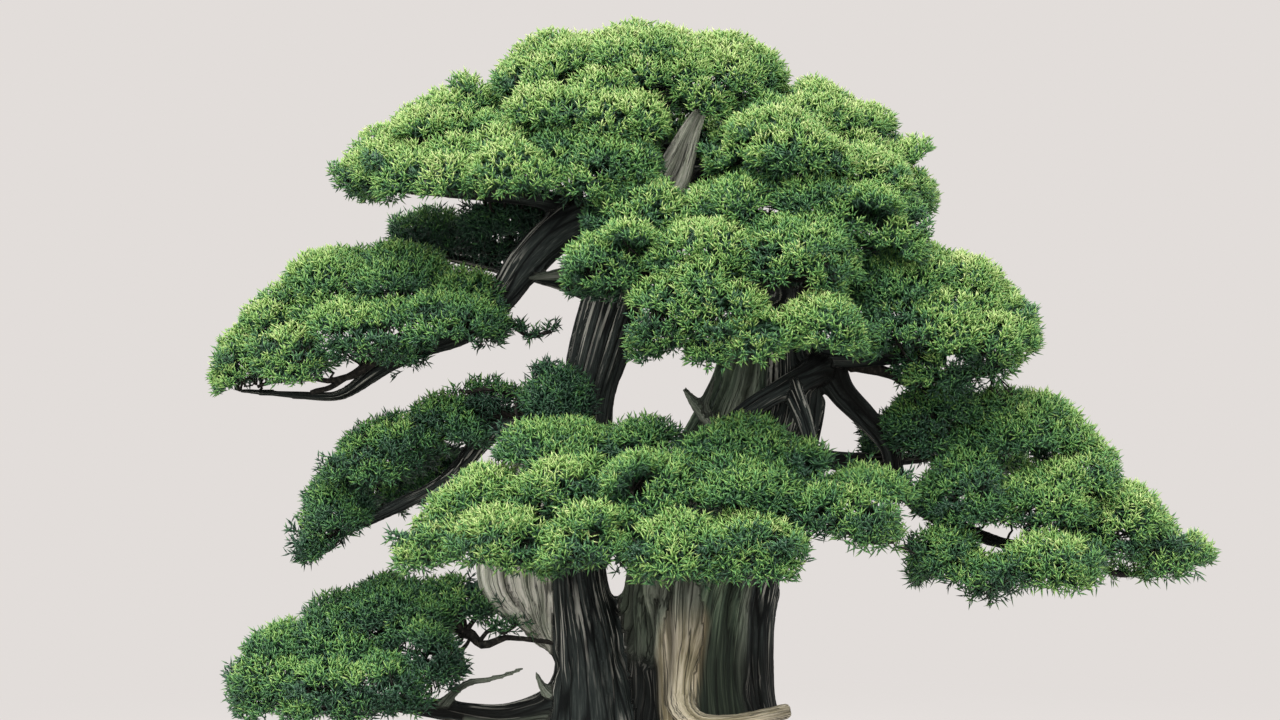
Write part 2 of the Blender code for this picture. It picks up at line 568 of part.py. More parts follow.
def make_everything():
    clear_scene()
    bark = make_material("bark_and_deadwood", (0.12, 0.10, 0.08), 0.85)
    needles = make_material("juniper_foliage", (0.10, 0.24, 0.06), 0.6)
    stoneware = make_material("unglazed_stoneware", (0.13, 0.075, 0.05), 0.75)
    grit = make_material("potting_grit", (0.16, 0.11, 0.07), 0.95)
    netting = make_material("plastic_netting", (0.03, 0.03, 0.03), 0.5)
    aluminium = make_material("anchor_wire", (0.25, 0.16, 0.10), 0.45)

    make_wood(bark)
    limb_cutters = [make_limb_cutter(*limb) for limb in all_limbs()]
    pad_cutters = []
    for name, lobes in PADS.items():
        make_pad(name, lobes, needles, limb_cutters + pad_cutters)
        pad_cutters.append(as_guide(make_skin("guide_" + name, lobes, grow=PAD_GAP)))

    make_pot(stoneware)
    make_wire("anchor_wire", WIRE_RADIUS, aluminium)
    wire_guide = as_guide(make_wire("guide_wire", WIRE_RADIUS + CLEARANCE))
    floor = FOOT_HEIGHT + FLOOR_THICKNESS
    pockets = []
    for side, x in (("left", -DRAIN_OFFSET), ("right", DRAIN_OFFSET)):
        make_screen(f"drainage_mesh_{side}", x, netting, wire_guide)
        pocket_side = SCREEN_SIDE + 2 * CLEARANCE
        pocket_height = 2 * (SCREEN_THICKNESS + 2 * CLEARANCE)
        pocket_size = (pocket_side, pocket_side, pocket_height)
        pockets.append(box_guide(f"guide_pocket_{side}", (x, 0, floor), pocket_size))
    make_soil(grit, [make_root_cutter(), wire_guide, *pockets])


make_everything()
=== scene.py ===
"""Looks of the twin-trunk juniper bonsai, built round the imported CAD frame.

Wood: the limbs are fused into one skin, then worked with grain that follows each limb.
Foliage: every pad of the frame carries clumps, every clump carries tufts, every tuft its needles.
Lengths are in metres, but for the tables of limbs, which are in millimetres.
"""
import math

import bmesh
import bpy
import numpy as np
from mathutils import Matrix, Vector
from mathutils.bvhtree import BVHTree


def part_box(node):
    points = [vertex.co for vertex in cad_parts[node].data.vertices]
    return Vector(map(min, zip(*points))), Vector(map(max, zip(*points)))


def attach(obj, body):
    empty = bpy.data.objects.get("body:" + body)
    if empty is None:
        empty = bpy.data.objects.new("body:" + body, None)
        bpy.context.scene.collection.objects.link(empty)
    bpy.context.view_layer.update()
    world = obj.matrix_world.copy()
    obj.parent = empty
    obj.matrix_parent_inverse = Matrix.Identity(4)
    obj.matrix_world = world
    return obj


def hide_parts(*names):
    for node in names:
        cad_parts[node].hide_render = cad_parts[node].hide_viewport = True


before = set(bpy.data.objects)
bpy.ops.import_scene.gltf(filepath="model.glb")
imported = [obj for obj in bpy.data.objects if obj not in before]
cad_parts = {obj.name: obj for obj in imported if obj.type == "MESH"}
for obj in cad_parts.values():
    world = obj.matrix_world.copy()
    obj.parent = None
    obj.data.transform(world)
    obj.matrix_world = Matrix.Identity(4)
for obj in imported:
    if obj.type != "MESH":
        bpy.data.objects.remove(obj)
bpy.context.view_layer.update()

MM = 0.001
SEED = 41

# ---- wood: x, y, z, radius (mm)
TRUNKS = {
    "left_trunk": [(-82, 0, 62, 50), (-88, 0, 113, 54), (-93, 0, 181, 42), (-99, 0, 249, 32),
        (-107, 0, 308, 25), (-106, 8, 385, 25), (-99, 4, 453, 23), (-87, -4, 500, 25), (-73, -12, 546, 25),
        (-55, -20, 597, 22), (-28, -38, 640, 17), (-14, -54, 674, 10), (-4, -60, 694, 6)],
    "right_trunk": [(10, 5, 62, 80), (8, 5, 113, 86), (-2, 5, 181, 65), (-6, 5, 249, 62), (-4, 5, 308, 66),
        (25, 5, 385, 55), (51, 5, 453, 46), (57, 5, 504, 38), (66, 5, 555, 28), (72, 5, 610, 18)],
}
FIN_DEPTH_RATIO = 0.6
FIN = [(-130, -3, 242, 5), (-141, -4, 258, 13), (-152, -4, 280, 24), (-161, -4, 305, 32),
    (-155, -4, 345, 32), (-148, -2, 380, 26), (-140, 0, 415, 15), (-128, 0, 440, 8)]
DEADWOOD = {
    "hook": [(-10, -36, 334, 13), (-15, -48, 296, 16), (-18, -50, 262, 17), (-23, -56, 222, 12),
        (-22, -62, 200, 13), (-6, -74, 188, 9), (22, -80, 189, 7), (46, -74, 193, 6.5),
        (69, -62, 197, 6.5)],
    "stub_inner_left": [(4, -32, 436, 8), (-4, -40, 444, 6), (-11, -46, 453, 5), (-19, -50, 464, 2.5)],
    "stub_inner_right": [(4, -32, 436, 7), (-2, -42, 447, 5), (2, -46, 460, 4), (8, -48, 476, 2)],
    "stub_upper_left": [(-82, -10, 566, 9), (-112, -16, 561, 7), (-131, -22, 558, 5), (-151, -26, 556, 2)],
    "stub_low_left": [(-124, -10, 198, 7), (-134, -16, 207, 5), (-139, -18, 215, 3.5), (-143, -18, 224, 2)],
    "twig_low_left": [(-224, -12, 194, 6), (-212, -18, 206, 4), (-200, -20, 215, 3.5), (-186, -20, 217, 3),
        (-170, -20, 221, 2.6), (-151, -20, 228, 2)],
}
BRANCHES = {
    "crown_left": [(-62, -18, 592, 16), (-98, -14, 612, 11), (-140, -6, 624, 9), (-208, 0, 630, 7),
        (-270, 0, 634, 5)],
    "crown_right": [(-24, -28, 640, 11), (30, -5, 655, 8), (90, 0, 662, 6), (140, 0, 655, 5)],
    "crown_top": [(-38, -25, 628, 13), (-60, 0, 672, 9), (-80, 10, 705, 6), (-110, 10, 720, 5)],
    "left_upper": [(-70, -18, 610, 20), (-100, -12, 608, 18), (-128, -8, 592, 18), (-152, -5, 568, 17),
        (-175, -2, 538, 14), (-206, 0, 512, 12), (-245, 0, 497, 10), (-279, 0, 477, 8), (-310, 0, 457, 5),
        (-345, 0, 457, 4), (-395, 0, 461, 3)],
    "left_shaded": [(-80, 0, 540, 12), (-125, 40, 555, 8), (-180, 80, 568, 6), (-225, 95, 578, 5)],
    "left_middle": [(-100, 0, 470, 14), (-144, -6, 446, 10), (-183, -12, 424, 9), (-217, -16, 386, 7),
        (-259, -20, 364, 6), (-305, -20, 343, 5)],
    "left_lower": [(-110, 0, 202, 22), (-140, -4, 191, 15), (-174, -6, 185, 12), (-217, -8, 190, 10),
        (-262, -10, 196, 8), (-320, -10, 202, 6)],
    "front": [(98, 0, 480, 15), (86, -36, 474, 12), (62, -60, 462, 10), (38, -72, 448, 9),
        (10, -84, 426, 8), (-20, -96, 400, 7), (-60, -110, 374, 6), (-120, -120, 352, 5),
        (-180, -130, 340, 5)],
    "front_right": [(70, -56, 466, 9), (82, -80, 430, 7), (90, -96, 390, 6), (96, -110, 356, 5)],
    "right_lower": [(60, 0, 486, 22), (102, 0, 483, 16), (117, 0, 460, 14), (138, 0, 438, 12),
        (157, -2, 414, 10), (164, -4, 386, 9), (182, -8, 363, 8), (208, -10, 349, 7), (245, -15, 334, 6),
        (290, -18, 326, 5), (335, -18, 322, 4)],
    "right_middle": [(92, 0, 494, 13), (130, -18, 490, 9), (174, -28, 492, 7), (230, -34, 500, 5)],
    "upper_front": [(62, 0, 528, 16), (66, -40, 545, 11), (52, -80, 556, 8), (10, -110, 560, 6),
        (-40, -115, 556, 5)],
    "back_upper": [(-60, -10, 585, 14), (-52, 50, 620, 9), (-44, 110, 655, 7), (-40, 150, 680, 5)],
    "back_middle": [(60, 10, 500, 16), (70, 70, 516, 10), (84, 120, 530, 7), (92, 155, 545, 5)],
    "back_lower": [(0, 40, 270, 18), (-8, 90, 300, 11), (-24, 130, 328, 8), (-32, 155, 344, 6)],
    "back_right": [(40, 20, 400, 18), (90, 60, 400, 11), (150, 95, 398, 8), (214, 118, 402, 5)],
    "back_left": [(-104, 10, 372, 14), (-150, 50, 366, 9), (-205, 85, 362, 7), (-255, 100, 366, 5)],
}
# Thin living strands that leave the branches: they carry no pad of their own.
STRANDS = {
    "left_upper_strand": [(-240, -8, 500, 6), (-266, -14, 490, 4), (-300, -12, 474, 3), (-330, -8, 470, 2),
        (-380, -6, 466, 1.5)],
    "left_upper_eye": [(-255, -10, 494, 5), (-285, -14, 484, 3), (-312, -10, 468, 2.5), (-335, -6, 458, 2)],
    "left_upper_drop": [(-232, -10, 500, 3), (-246, -16, 488, 2), (-258, -18, 482, 1.5)],
    "left_upper_inner": [(-176, -14, 524, 4), (-160, -20, 514, 2.5), (-145, -24, 508, 2),
        (-130, -26, 512, 1.5)],
    "left_lower_strand": [(-128, -8, 246, 2), (-157, -8, 252, 2.2), (-168, -8, 254, 2.6),
        (-181, -6, 249, 3.5), (-193, -4, 248, 4), (-205, 0, 254, 5.5), (-212, 6, 266, 8),
        (-225, 10, 285, 9)],
    "left_lower_loop": [(-190, -6, 249, 2), (-184, -10, 258, 1.8), (-176, -12, 262, 1.6),
        (-168, -14, 258, 1.4), (-160, -12, 264, 1.2), (-150, -10, 266, 1)],
    "left_lower_rise": [(-204, -2, 255, 2.5), (-196, -6, 268, 2), (-186, -8, 276, 1.5), (-174, -8, 282, 1)],
    "left_middle_strand": [(-150, -14, 442, 5), (-180, -22, 440, 4), (-215, -26, 425, 3),
        (-262, -26, 412, 2)],
    "left_inner_strand": [(-128, -12, 446, 5), (-152, -30, 456, 3.5), (-176, -32, 462, 2.5),
        (-206, -30, 462, 1.5)],
    "right_middle_strand": [(125, -6, 484, 7), (147, -16, 480, 5), (174, -26, 468, 3.5),
        (212, -34, 474, 2.5), (240, -34, 478, 1.5)],
    "right_lower_strand": [(190, -10, 372, 4), (214, -40, 345, 3), (236, -60, 320, 2.4),
        (280, -80, 318, 1.6)],
    "right_lower_tip": [(300, -15, 334, 4), (330, -20, 312, 3), (360, -20, 306, 2.4), (400, -16, 311, 1.6)],
    "front_right_strand": [(94, -104, 372, 4), (118, -118, 346, 3), (150, -125, 338, 1.8)],
    "front_left_strand": [(-110, -120, 356, 4), (-160, -130, 352, 3), (-215, -132, 338, 2)],
    "front_low_strand": [(-60, -112, 372, 4), (-50, -150, 345, 3), (-20, -180, 330, 2)],
}
# Loose shoots along the outer part of a strand: strand, share of its length where they begin, tone.
SPRIGS = [("left_upper_inner", 0.25, 0.1), ("left_upper_drop", 0.3, 0.1), ("left_lower_rise", 0.3, 0.16),
    ("left_lower_loop", 0.3, 0.16), ("right_lower_tip", 0.2, 0.4), ("right_middle_strand", 0.35, 0.3),
    ("left_inner_strand", 0.3, 0.34), ("front_right_strand", 0.5, 0.45), ("left_middle_strand", 0.5, 0.34)]
# Surface roots: bearing in degrees from +X, start (x, y), reach, start radius.
ROOTS = [(-158, (-105, -5), 88, 20), (-128, (-95, -20), 80, 16), (-97, (-60, -30), 76, 15),
    (-62, (10, -45), 72, 22), (-28, (45, -30), 92, 24), (6, (60, 5), 84, 20), (48, (40, 35), 86, 22),
    (92, (-10, 45), 78, 20), (128, (-80, 25), 84, 18), (165, (-110, 8), 78, 16)]
# A surface root from its hidden start to its tip: share of the reach, height (mm), share of the radius.
ROOT_PROFILE = [(-0.30, 158, 0.75), (0.05, 132, 1.0), (0.35, 114, 0.80), (0.70, 104, 0.60), (1.0, 92, 0.36)]

WOOD_VOXEL = 0.0028
WOOD_SMOOTHING = 5  # rounds of smoothing on the fused skin
SAMPLE_STEP = 0.005  # spacing of the stations along a limb
TRUNK_SIDES, LIMB_SIDES = 32, 16
LIMB_SHIFT = 1.7  # keeps the grain patterns of two limbs apart
NEARLY_ALONG_Y = 0.2  # a limb this near to the world's Y takes its side direction from X

# Where the wood is dead. Pairs are heights or other measures between which a feature fades.
DEAD_STUB = 0.6  # how dead the small stubs are
FACE_BEARING = 240  # middle of the right trunk's dead face, in degrees round the trunk
FACE_TURN = 42  # how far the face has turned back higher up
FACE_TURN_HEIGHTS = (0.34, 0.43)
FACE_EDGE = (0.36, 0.44)
FACE_TOP = (0.60, 0.52)
FACE_FOOT = (0.245, 0.225)  # left of the strip the face ends at this height
FACE_FOOT_SIDE = (-0.034, -0.044)
BARE_TIP = (0.606, 0.622)  # heights where the slim trunk turns into a bleached tip
SHELF_START = -0.205  # the lowest left branch has a dead shelf from here to its trunk
SHELF_EDGE = (0.1, 0.5)
STRIP_FOOT = (-0.020, 0.25)  # x and height where the tan strip starts
STRIP_LEAN = 0.16
STRIP_HALF_WIDTH = 0.021
STRIP_TOP = (0.308, 0.256)
STRIP_EDGE = (0.22, 0.62)
HOOK_WARMTH = 0.8
HOOK_TOP = (0.298, 0.256)  # heights where the hook's tan passes into aged grey
DULL_LEFT = (-0.036, -0.052)  # left of the strip the grey is a little less aged
# Painted shadow under the hook, beside the tan strip: heights and x between which it fades.
HOOK_SHADOW_TOP = (0.268, 0.232)
HOOK_SHADOW_RIGHT = (-0.012, 0.002)
HOOK_SHADOW_LEFT = (-0.034, -0.042)

# Depths of what is carved into the wood.
FLUTE_DEPTH, CRACK_DEPTH, PLATE_DEPTH = 0.020, 0.0042, 0.0034
RIB_DEPTH, THREAD_DEPTH, GROOVE_DEPTH = 0.0080, 0.0022, 0.0075
CARVED_FULL = 0.045  # limbs of this radius or more are carved to the full depth
GRAIN_WANDER = (0.008, 0.028)  # how far grain strays in living wood, and the more in dead wood
# Painted shade in hollows: carved depths in bark and in bare wood over which it darkens.
HOLLOW_BARK = (-0.002, -0.008)
HOLLOW_BARE = (-0.002, -0.0075)

# ---- foliage
PAD_SAMPLES = 5000  # trial places on each pad for its clumps
CLUMP_SPACING = 0.029
CLUMP_RADIUS = (0.020, 0.028)
CLUMP_FLATNESS = 0.66  # height of a clump's dome against its radius
CLUMP_SPREAD = 0.0035  # how far clumps stand out of or sink into the pad
CLUMP_RISE = 0.8  # how much clumps turn upward from the pad's surface
CLUMP_COVER = 0.006  # a clump's middle lies at least this deep in its pad
UNDERSIDE = -0.35  # a pad's surface that faces down more than this is its underside
UNDER_SPACING = 0.030
UNDER_SIZE = 0.72  # size of the clumps under a pad against the others
NEAR_PAD = (0.012, 0.030)  # clumps this near to another pad reach out to meet it
HIDDEN_BY = 0.004  # a side of a pad is left bare where another pad covers it this closely
TUFT_REACH = 0.0060  # how far a tuft's tips stand out of its clump
TUFT_SPACING = 0.0072
TUFT_LIGHT = 0.45  # middle tone of the needles
UNDER_SHADE = 0.24  # painted shade: how much darker they are coloured under the pad
TUFT_OVERLAP = 0.88  # tufts this deep inside another clump are left out
SPRAY_LENGTH = (0.008, 0.012)
SPRAY_SHOOTS = 7
SPRAY_OUT, SPRAY_UP, SPRAY_STRAY = 0.62, 0.42, 0.18
SPRAY_SEAT = 0.55  # share of a spray's stem that lies behind its tuft's place
SPRAY_TURN = 2.4  # angle from one shoot to the next round the stem
SPRAY_SPREAD = (26, 58)  # angle of the shoots to the stem, in degrees
SHOOT_LENGTH = (0.0058, 0.0102)
SHOOT_RADIUS = 0.00084
INNER_SHOOTS = 4
INNER_LENGTH = (0.010, 0.015)
INNER_DEPTH = (0.006, 0.012)
INNER_RADIUS = 0.0013
WAIST = 0.42  # share of a needle's length where it is thickest
# How open a pad grows: its tufts lean more freely and reach further.
LOOSE = {"front_left": 0.22, "front_centre": 0.18, "front_right": 0.26,
         "right_front": 0.30, "left_inner": 0.30, "left_middle": 0.14,
         "left_lower": 0.12, "right_lower": 0.16, "left_shaded": 0.26}
# Painted shade: how much darker a pad's needles are coloured where the whole of it lies in shade.
SHADE = {"left_shaded": 0.20, "left_inner": 0.23, "left_lower": 0.14,
         "left_middle": 0.03, "right_lower": 0.04, "back_lower": 0.06,
         "back_left": 0.08, "back_right": 0.08, "back_middle": 0.05}
ROOF_HEIGHT = 0.26  # other pads this far above a clump still shade it
ROOF_SHADE = 0.25  # painted shade: how much darker needles are coloured right under another pad
SKY_RAYS = 9
SKY_TURN = 2.4  # angle from one ray to the next round the vertical
SKY_SPREAD = 0.45  # slope of the outermost ray
SKY_LEAN = -0.1  # the sky counts a little more in front, where the light comes from

TWIG_LENGTH = 0.11
STEEP_TWIG = 0.055  # the longest twig that may climb straight up
TWIG_SAG = 0.02  # share of a twig's length that it bows down
TWIG_CROOK = 0.0016
TWIG_TIP = 0.0008  # radius where a twig ends and its twiglets start
THICK_BRANCH = 0.011  # twigs leave thinner wood unless it is much further off
THICK_BRANCH_PENALTY = 0.03
TWIGLETS = 4  # from the middle of a clump to its tufts

# ---- pot and what is in it
CORNER_STEPS = 14
POT_CORNER = 0.045
POT_WALL = 0.011
POT_TAPER = 0.018
LEAST_CORNER = 0.012
FLOOR_THICKNESS = 0.010
BASE_ROUND, INNER_ROUND = 0.006, 0.008
LIP_DEPTH = 0.014
LIP_REACH = 0.007
LIP_ROUND, UNDER_LIP_ROUND = 0.004, 0.003
FOOT_HEIGHT = 0.013
FOOT_SIZE = (0.070, 0.046)
FOOT_INSET = 0.012
# A foot from the ground up: how far it spreads, and height.
FOOT_PROFILE = [(-0.003, 0.0), (-0.0008, 0.0008), (0.0, 0.003), (0.0, FOOT_HEIGHT - 0.004),
                (0.001, FOOT_HEIGHT - 0.0015), (0.004, FOOT_HEIGHT + 0.002)]
POT_FLOOR = FOOT_HEIGHT + FLOOR_THICKNESS
DRAIN_RADIUS = 0.014
DRAIN_OFFSET = 0.115
SOIL_BELOW_RIM = 0.007
SOIL_MOUND = 0.020
SOIL_GAP = 0.0006  # between the soil and the pot
SOIL_LUMPS = 0.006
GRAINS = 9000
GRAIN_RADIUS = (0.0010, 0.0024)
MOSS_SAMPLES = 60000  # trial places for moss, of which the patches keep some
MOSS_THRESHOLD = 0.55
MOSS_MARGIN = 0.012
MOSS_LENGTH = (0.0028, 0.0050)
MOSS_RADIUS = 0.0006
NETTING_STRANDS = 12
NETTING_HALF_WIDTH = 0.0006
WIRE_BEND = 0.008

pot_low, pot_high = [Vector(corner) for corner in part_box("pot")]
POT_HALF = ((pot_high.x - pot_low.x) / 2, (pot_high.y - pot_low.y) / 2)
POT_HEIGHT = pot_high.z
SOIL_EDGE = POT_HEIGHT - SOIL_BELOW_RIM
PADS = sorted(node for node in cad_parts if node.startswith("foliage_"))


# ---- noise on arrays of points
def lattice_value(cell, seed):
    """Pseudo-random value in 0..1 for integer cells, the same each run."""
    mixed = cell[:, 0] * 73856093 ^ cell[:, 1] * 19349663 ^ cell[:, 2] * 83492791 ^ seed * 40503
    mixed = (mixed & 0xFFFFFFFF) * 2654435761 & 0xFFFFFFFF
    mixed ^= mixed >> 15
    mixed = mixed * 2246822519 & 0xFFFFFFFF
    mixed ^= mixed >> 13
    return mixed / 4294967296.0


def noise(points, scale, seed=0):
    """Smooth value noise in 0..1; scale is one number or one for each axis, in features per metre."""
    place = points * np.asarray(scale, dtype=float) + 1000.0
    base = np.floor(place).astype(np.int64)
    part = place - base
    part = part * part * (3 - 2 * part)
    total = np.zeros(len(points))
    for corner in range(8):
        offset = np.array([corner & 1, corner >> 1 & 1, corner >> 2 & 1])
        weight = np.prod(np.where(offset, part, 1 - part), axis=1)
        total += weight * lattice_value(base + offset, seed)
    return total


def layered(points, scale, seed=0, layers=3):
    scale = np.asarray(scale, dtype=float)
    total, size = 0.0, 1.0
    for layer in range(layers):
        total = total + size * noise(points, scale * 2 ** layer, seed + 17 * layer)
        size *= 0.5
    return total / (2 - 2 * size)


def blend_step(low, high, value):
    """0 at low, 1 at high, smooth between; low may be the larger one."""
    share = np.clip((value - low) / (high - low), 0, 1)
    return share * share * (3 - 2 * share)


def crests(points, scale, seed):
    """Noise folded into thin lines: 1 on a line, 0 far from it."""
    return 1 - np.abs(2 * noise(points, scale, seed) - 1)


def unit(vectors):
    return vectors / np.maximum(np.linalg.norm(vectors, axis=-1, keepdims=True), 1e-9)


# ---- meshes from arrays
def mesh_object(name, verts, faces, smooth=True):
    """Object from vertex and face arrays; every face has the same number of corners."""
    mesh = bpy.data.meshes.new(name)
    corners = faces.shape[1]
    mesh.vertices.add(len(verts))
    mesh.vertices.foreach_set("co", np.ascontiguousarray(verts, dtype=np.float32).ravel())
    mesh.loops.add(faces.size)
    mesh.loops.foreach_set("vertex_index", np.ascontiguousarray(faces, dtype=np.int32).ravel())
    mesh.polygons.add(len(faces))
    mesh.polygons.foreach_set("loop_start", np.arange(0, faces.size, corners, dtype=np.int32))
    mesh.polygons.foreach_set("use_smooth", np.full(len(faces), smooth))
    mesh.update(calc_edges=True)
    obj = bpy.data.objects.new(name, mesh)
    bpy.context.scene.collection.objects.link(obj)
    return obj


def set_attribute(obj, name, values):
    kind = "FLOAT" if values.ndim == 1 else "FLOAT_VECTOR"
    key = "value" if values.ndim == 1 else "vector"
    layer = obj.data.attributes.new(name, kind, "POINT")
    layer.data.foreach_set(key, np.ascontiguousarray(values, dtype=np.float32).ravel())


def set_colour_map(obj, across, along):
    """UV map that puts each face where its own colour lies, so that faces of one colour share a spot."""
    index = np.empty(len(obj.data.loops), dtype=np.int32)
    obj.data.loops.foreach_get("vertex_index", index)
    layer = obj.data.uv_layers.new(name="OFBake")
    layer.data.foreach_set("uv", np.stack([across[index], along[index]], axis=1).astype(np.float32).ravel())


def vertex_array(mesh, key="co"):
    """Places or normals of a mesh's vertices."""
    values = np.empty(len(mesh.vertices) * 3, dtype=np.float32)
    mesh.vertices.foreach_get(key, values)
    return values.reshape(-1, 3).astype(float)


def triangle_array(mesh):
    mesh.calc_loop_triangles()
    corners = np.empty(len(mesh.loop_triangles) * 3, dtype=np.int32)
    mesh.loop_triangles.foreach_get("vertices", corners)
    return corners.reshape(-1, 3)


def joined(parts):
    """Several (verts, faces) pairs as one."""
    verts, faces, offset = [], [], 0
    for part_verts, part_faces in parts:
        verts.append(part_verts)
        faces.append(part_faces + offset)
        offset += len(part_verts)
    return np.vstack(verts), np.vstack(faces)


def ring_skin(rings, ends):
    """Closed triangle skin through rings of equal length, with a middle point at each end."""
    count = rings.shape[1]
    here = np.arange(count)
    after = (here + 1) % count
    low = np.arange(len(rings) - 1)[:, None] * count
    a, b = low + here, low + after
    walls = np.concatenate([np.stack([a, b, b + count], -1), np.stack([a, b + count, a + count], -1)])
    first = len(rings) * count
    top = first - count
    start = np.stack([np.full(count, first), after, here], -1)
    end = np.stack([np.full(count, first + 1), top + here, top + after], -1)
    return np.vstack([rings.reshape(-1, 3), ends]), np.vstack([walls.reshape(-1, 3), start, end])


def loft(rings):
    """Closed skin through a list of flat rings."""
    rings = np.array(rings)
    return ring_skin(rings, rings[[0, -1]].mean(axis=1))


def apply_modifiers(obj):
    graph = bpy.context.evaluated_depsgraph_get()
    mesh = bpy.data.meshes.new_from_object(obj.evaluated_get(graph), depsgraph=graph)
    obj.modifiers.clear()
    obj.data = mesh


def finish_piece(obj, material, slot, *nodes):
    """Give a piece its material and its place in the frame."""
    obj.data.materials.clear()
    obj.data.materials.append(material)
    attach(obj, "root")
    if nodes:
        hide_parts(*nodes)


# ---- material helpers
def srgb(*display):
    """Linear colour from display values of 0 to 255."""
    linear = [((c / 255 + 0.055) / 1.055) ** 2.4 if c > 10 else c / 255 / 12.92 for c in display]
    return (*linear, 1.0)


def set_stops(ramp_node, stops):
    """Give a colour ramp its stops, each a position and a linear colour."""
    elements = ramp_node.color_ramp.elements
    while len(elements) < len(stops):
        elements.new(0.5)
    for element, (position, colour) in zip(elements, stops):
        element.position = position
        element.color = colour


class Shader:
    """Small helper that wires one Principled material; its colours are display values of 0 to 255."""

    def __init__(self, name, roughness, specular):
        self.material = bpy.data.materials.new(name)
        self.material.use_nodes = True
        self.tree = self.material.node_tree
        self.surface = self.tree.nodes["Principled BSDF"]
        self.feed(self.surface, {"Roughness": roughness, "Specular IOR Level": specular})

    def feed(self, node, values):
        """Set a node's inputs: each to a number or a colour, or wired to another node's output."""
        for key, value in values.items():
            socket = node.inputs[key]
            if isinstance(value, bpy.types.NodeSocket):
                self.tree.links.new(value, socket)
            else:
                socket.default_value = srgb(*value) if isinstance(value, tuple) else value

    def node(self, kind, values=(), **settings):
        made = self.tree.nodes.new("ShaderNode" + kind)
        for key, value in settings.items():
            setattr(made, key, value)
        self.feed(made, dict(values))
        return made

    def attribute(self, name, output="Fac"):
        return self.node("Attribute", attribute_name=name).outputs[output]

    def object_place(self):
        return self.node("TexCoord").outputs["Object"]

    def math(self, operation, first, second=0.0, third=0.0):
        return self.node("Math", {0: first, 1: second, 2: third}, operation=operation).outputs[0]

    def times(self, first, second):
        return self.math("MULTIPLY", first, second)

    def plus(self, first, second):
        return self.math("ADD", first, second)

    def noise(self, vector, scale, detail=3.0, roughness=0.55):
        return self.node("TexNoise", {"Vector": vector, "Scale": scale, "Detail": detail,
                                      "Roughness": roughness}).outputs["Fac"]

    def along_grain(self, grain, share):
        """The grain's coordinates with the distance along it shortened, so that patterns stretch along it."""
        made = self.node("Mapping", {"Vector": grain})
        made.inputs["Scale"].default_value = (1.0, 1.0, share)
        return made.outputs[0]

    def cracks(self, vector, scale):
        """Distance from the borders of cells."""
        return self.node("TexVoronoi", {"Vector": vector, "Scale": scale},
                         feature="DISTANCE_TO_EDGE").outputs["Distance"]

    def ramp(self, factor, *stops):
        made = self.node("ValToRGB", {"Fac": factor})
        set_stops(made, [(position, srgb(*colour)) for position, colour in stops])
        return made.outputs["Color"]

    def mask(self, factor, low, high):
        """0 at low, 1 at high, smooth between."""
        return self.node("MapRange", {"Value": factor, "From Min": low, "From Max": high},
                         interpolation_type="SMOOTHSTEP").outputs["Result"]

    def mix(self, factor, first, second):
        return self.node("Mix", {0: factor, 6: first, 7: second}, data_type="RGBA").outputs[2]

    def bump(self, height, distance, strength):
        made = self.node("Bump", {"Height": height, "Distance": distance, "Strength": strength})
        self.feed(self.surface, {"Normal": made.outputs["Normal"]})

    def colour(self, source):
        self.feed(self.surface, {"Base Color": source})


# ---- materials
def foliage_material():
    """Needle colour from dark and bluish inside the pad to fresh yellow-green at the tips, with painted light
    and shade in the tones.
    """
    shader = Shader("juniper_needles", 0.42, 0.5)
    tint = shader.attribute("tint")
    # Lighter towards each needle's tip: fresh growth, and painted light on the tips with painted shade at the
    # bases.
    tip = shader.math("MULTIPLY_ADD", shader.attribute("along"), 0.46, -0.21)
    shader.colour(shader.ramp(shader.plus(tint, tip), (0.0, (36, 62, 50)), (0.2, (55, 94, 66)),
                              (0.4, (84, 134, 75)), (0.6, (122, 165, 84)), (0.8, (162, 190, 110)),
                              (1.0, (196, 208, 142))))
    return shader.material


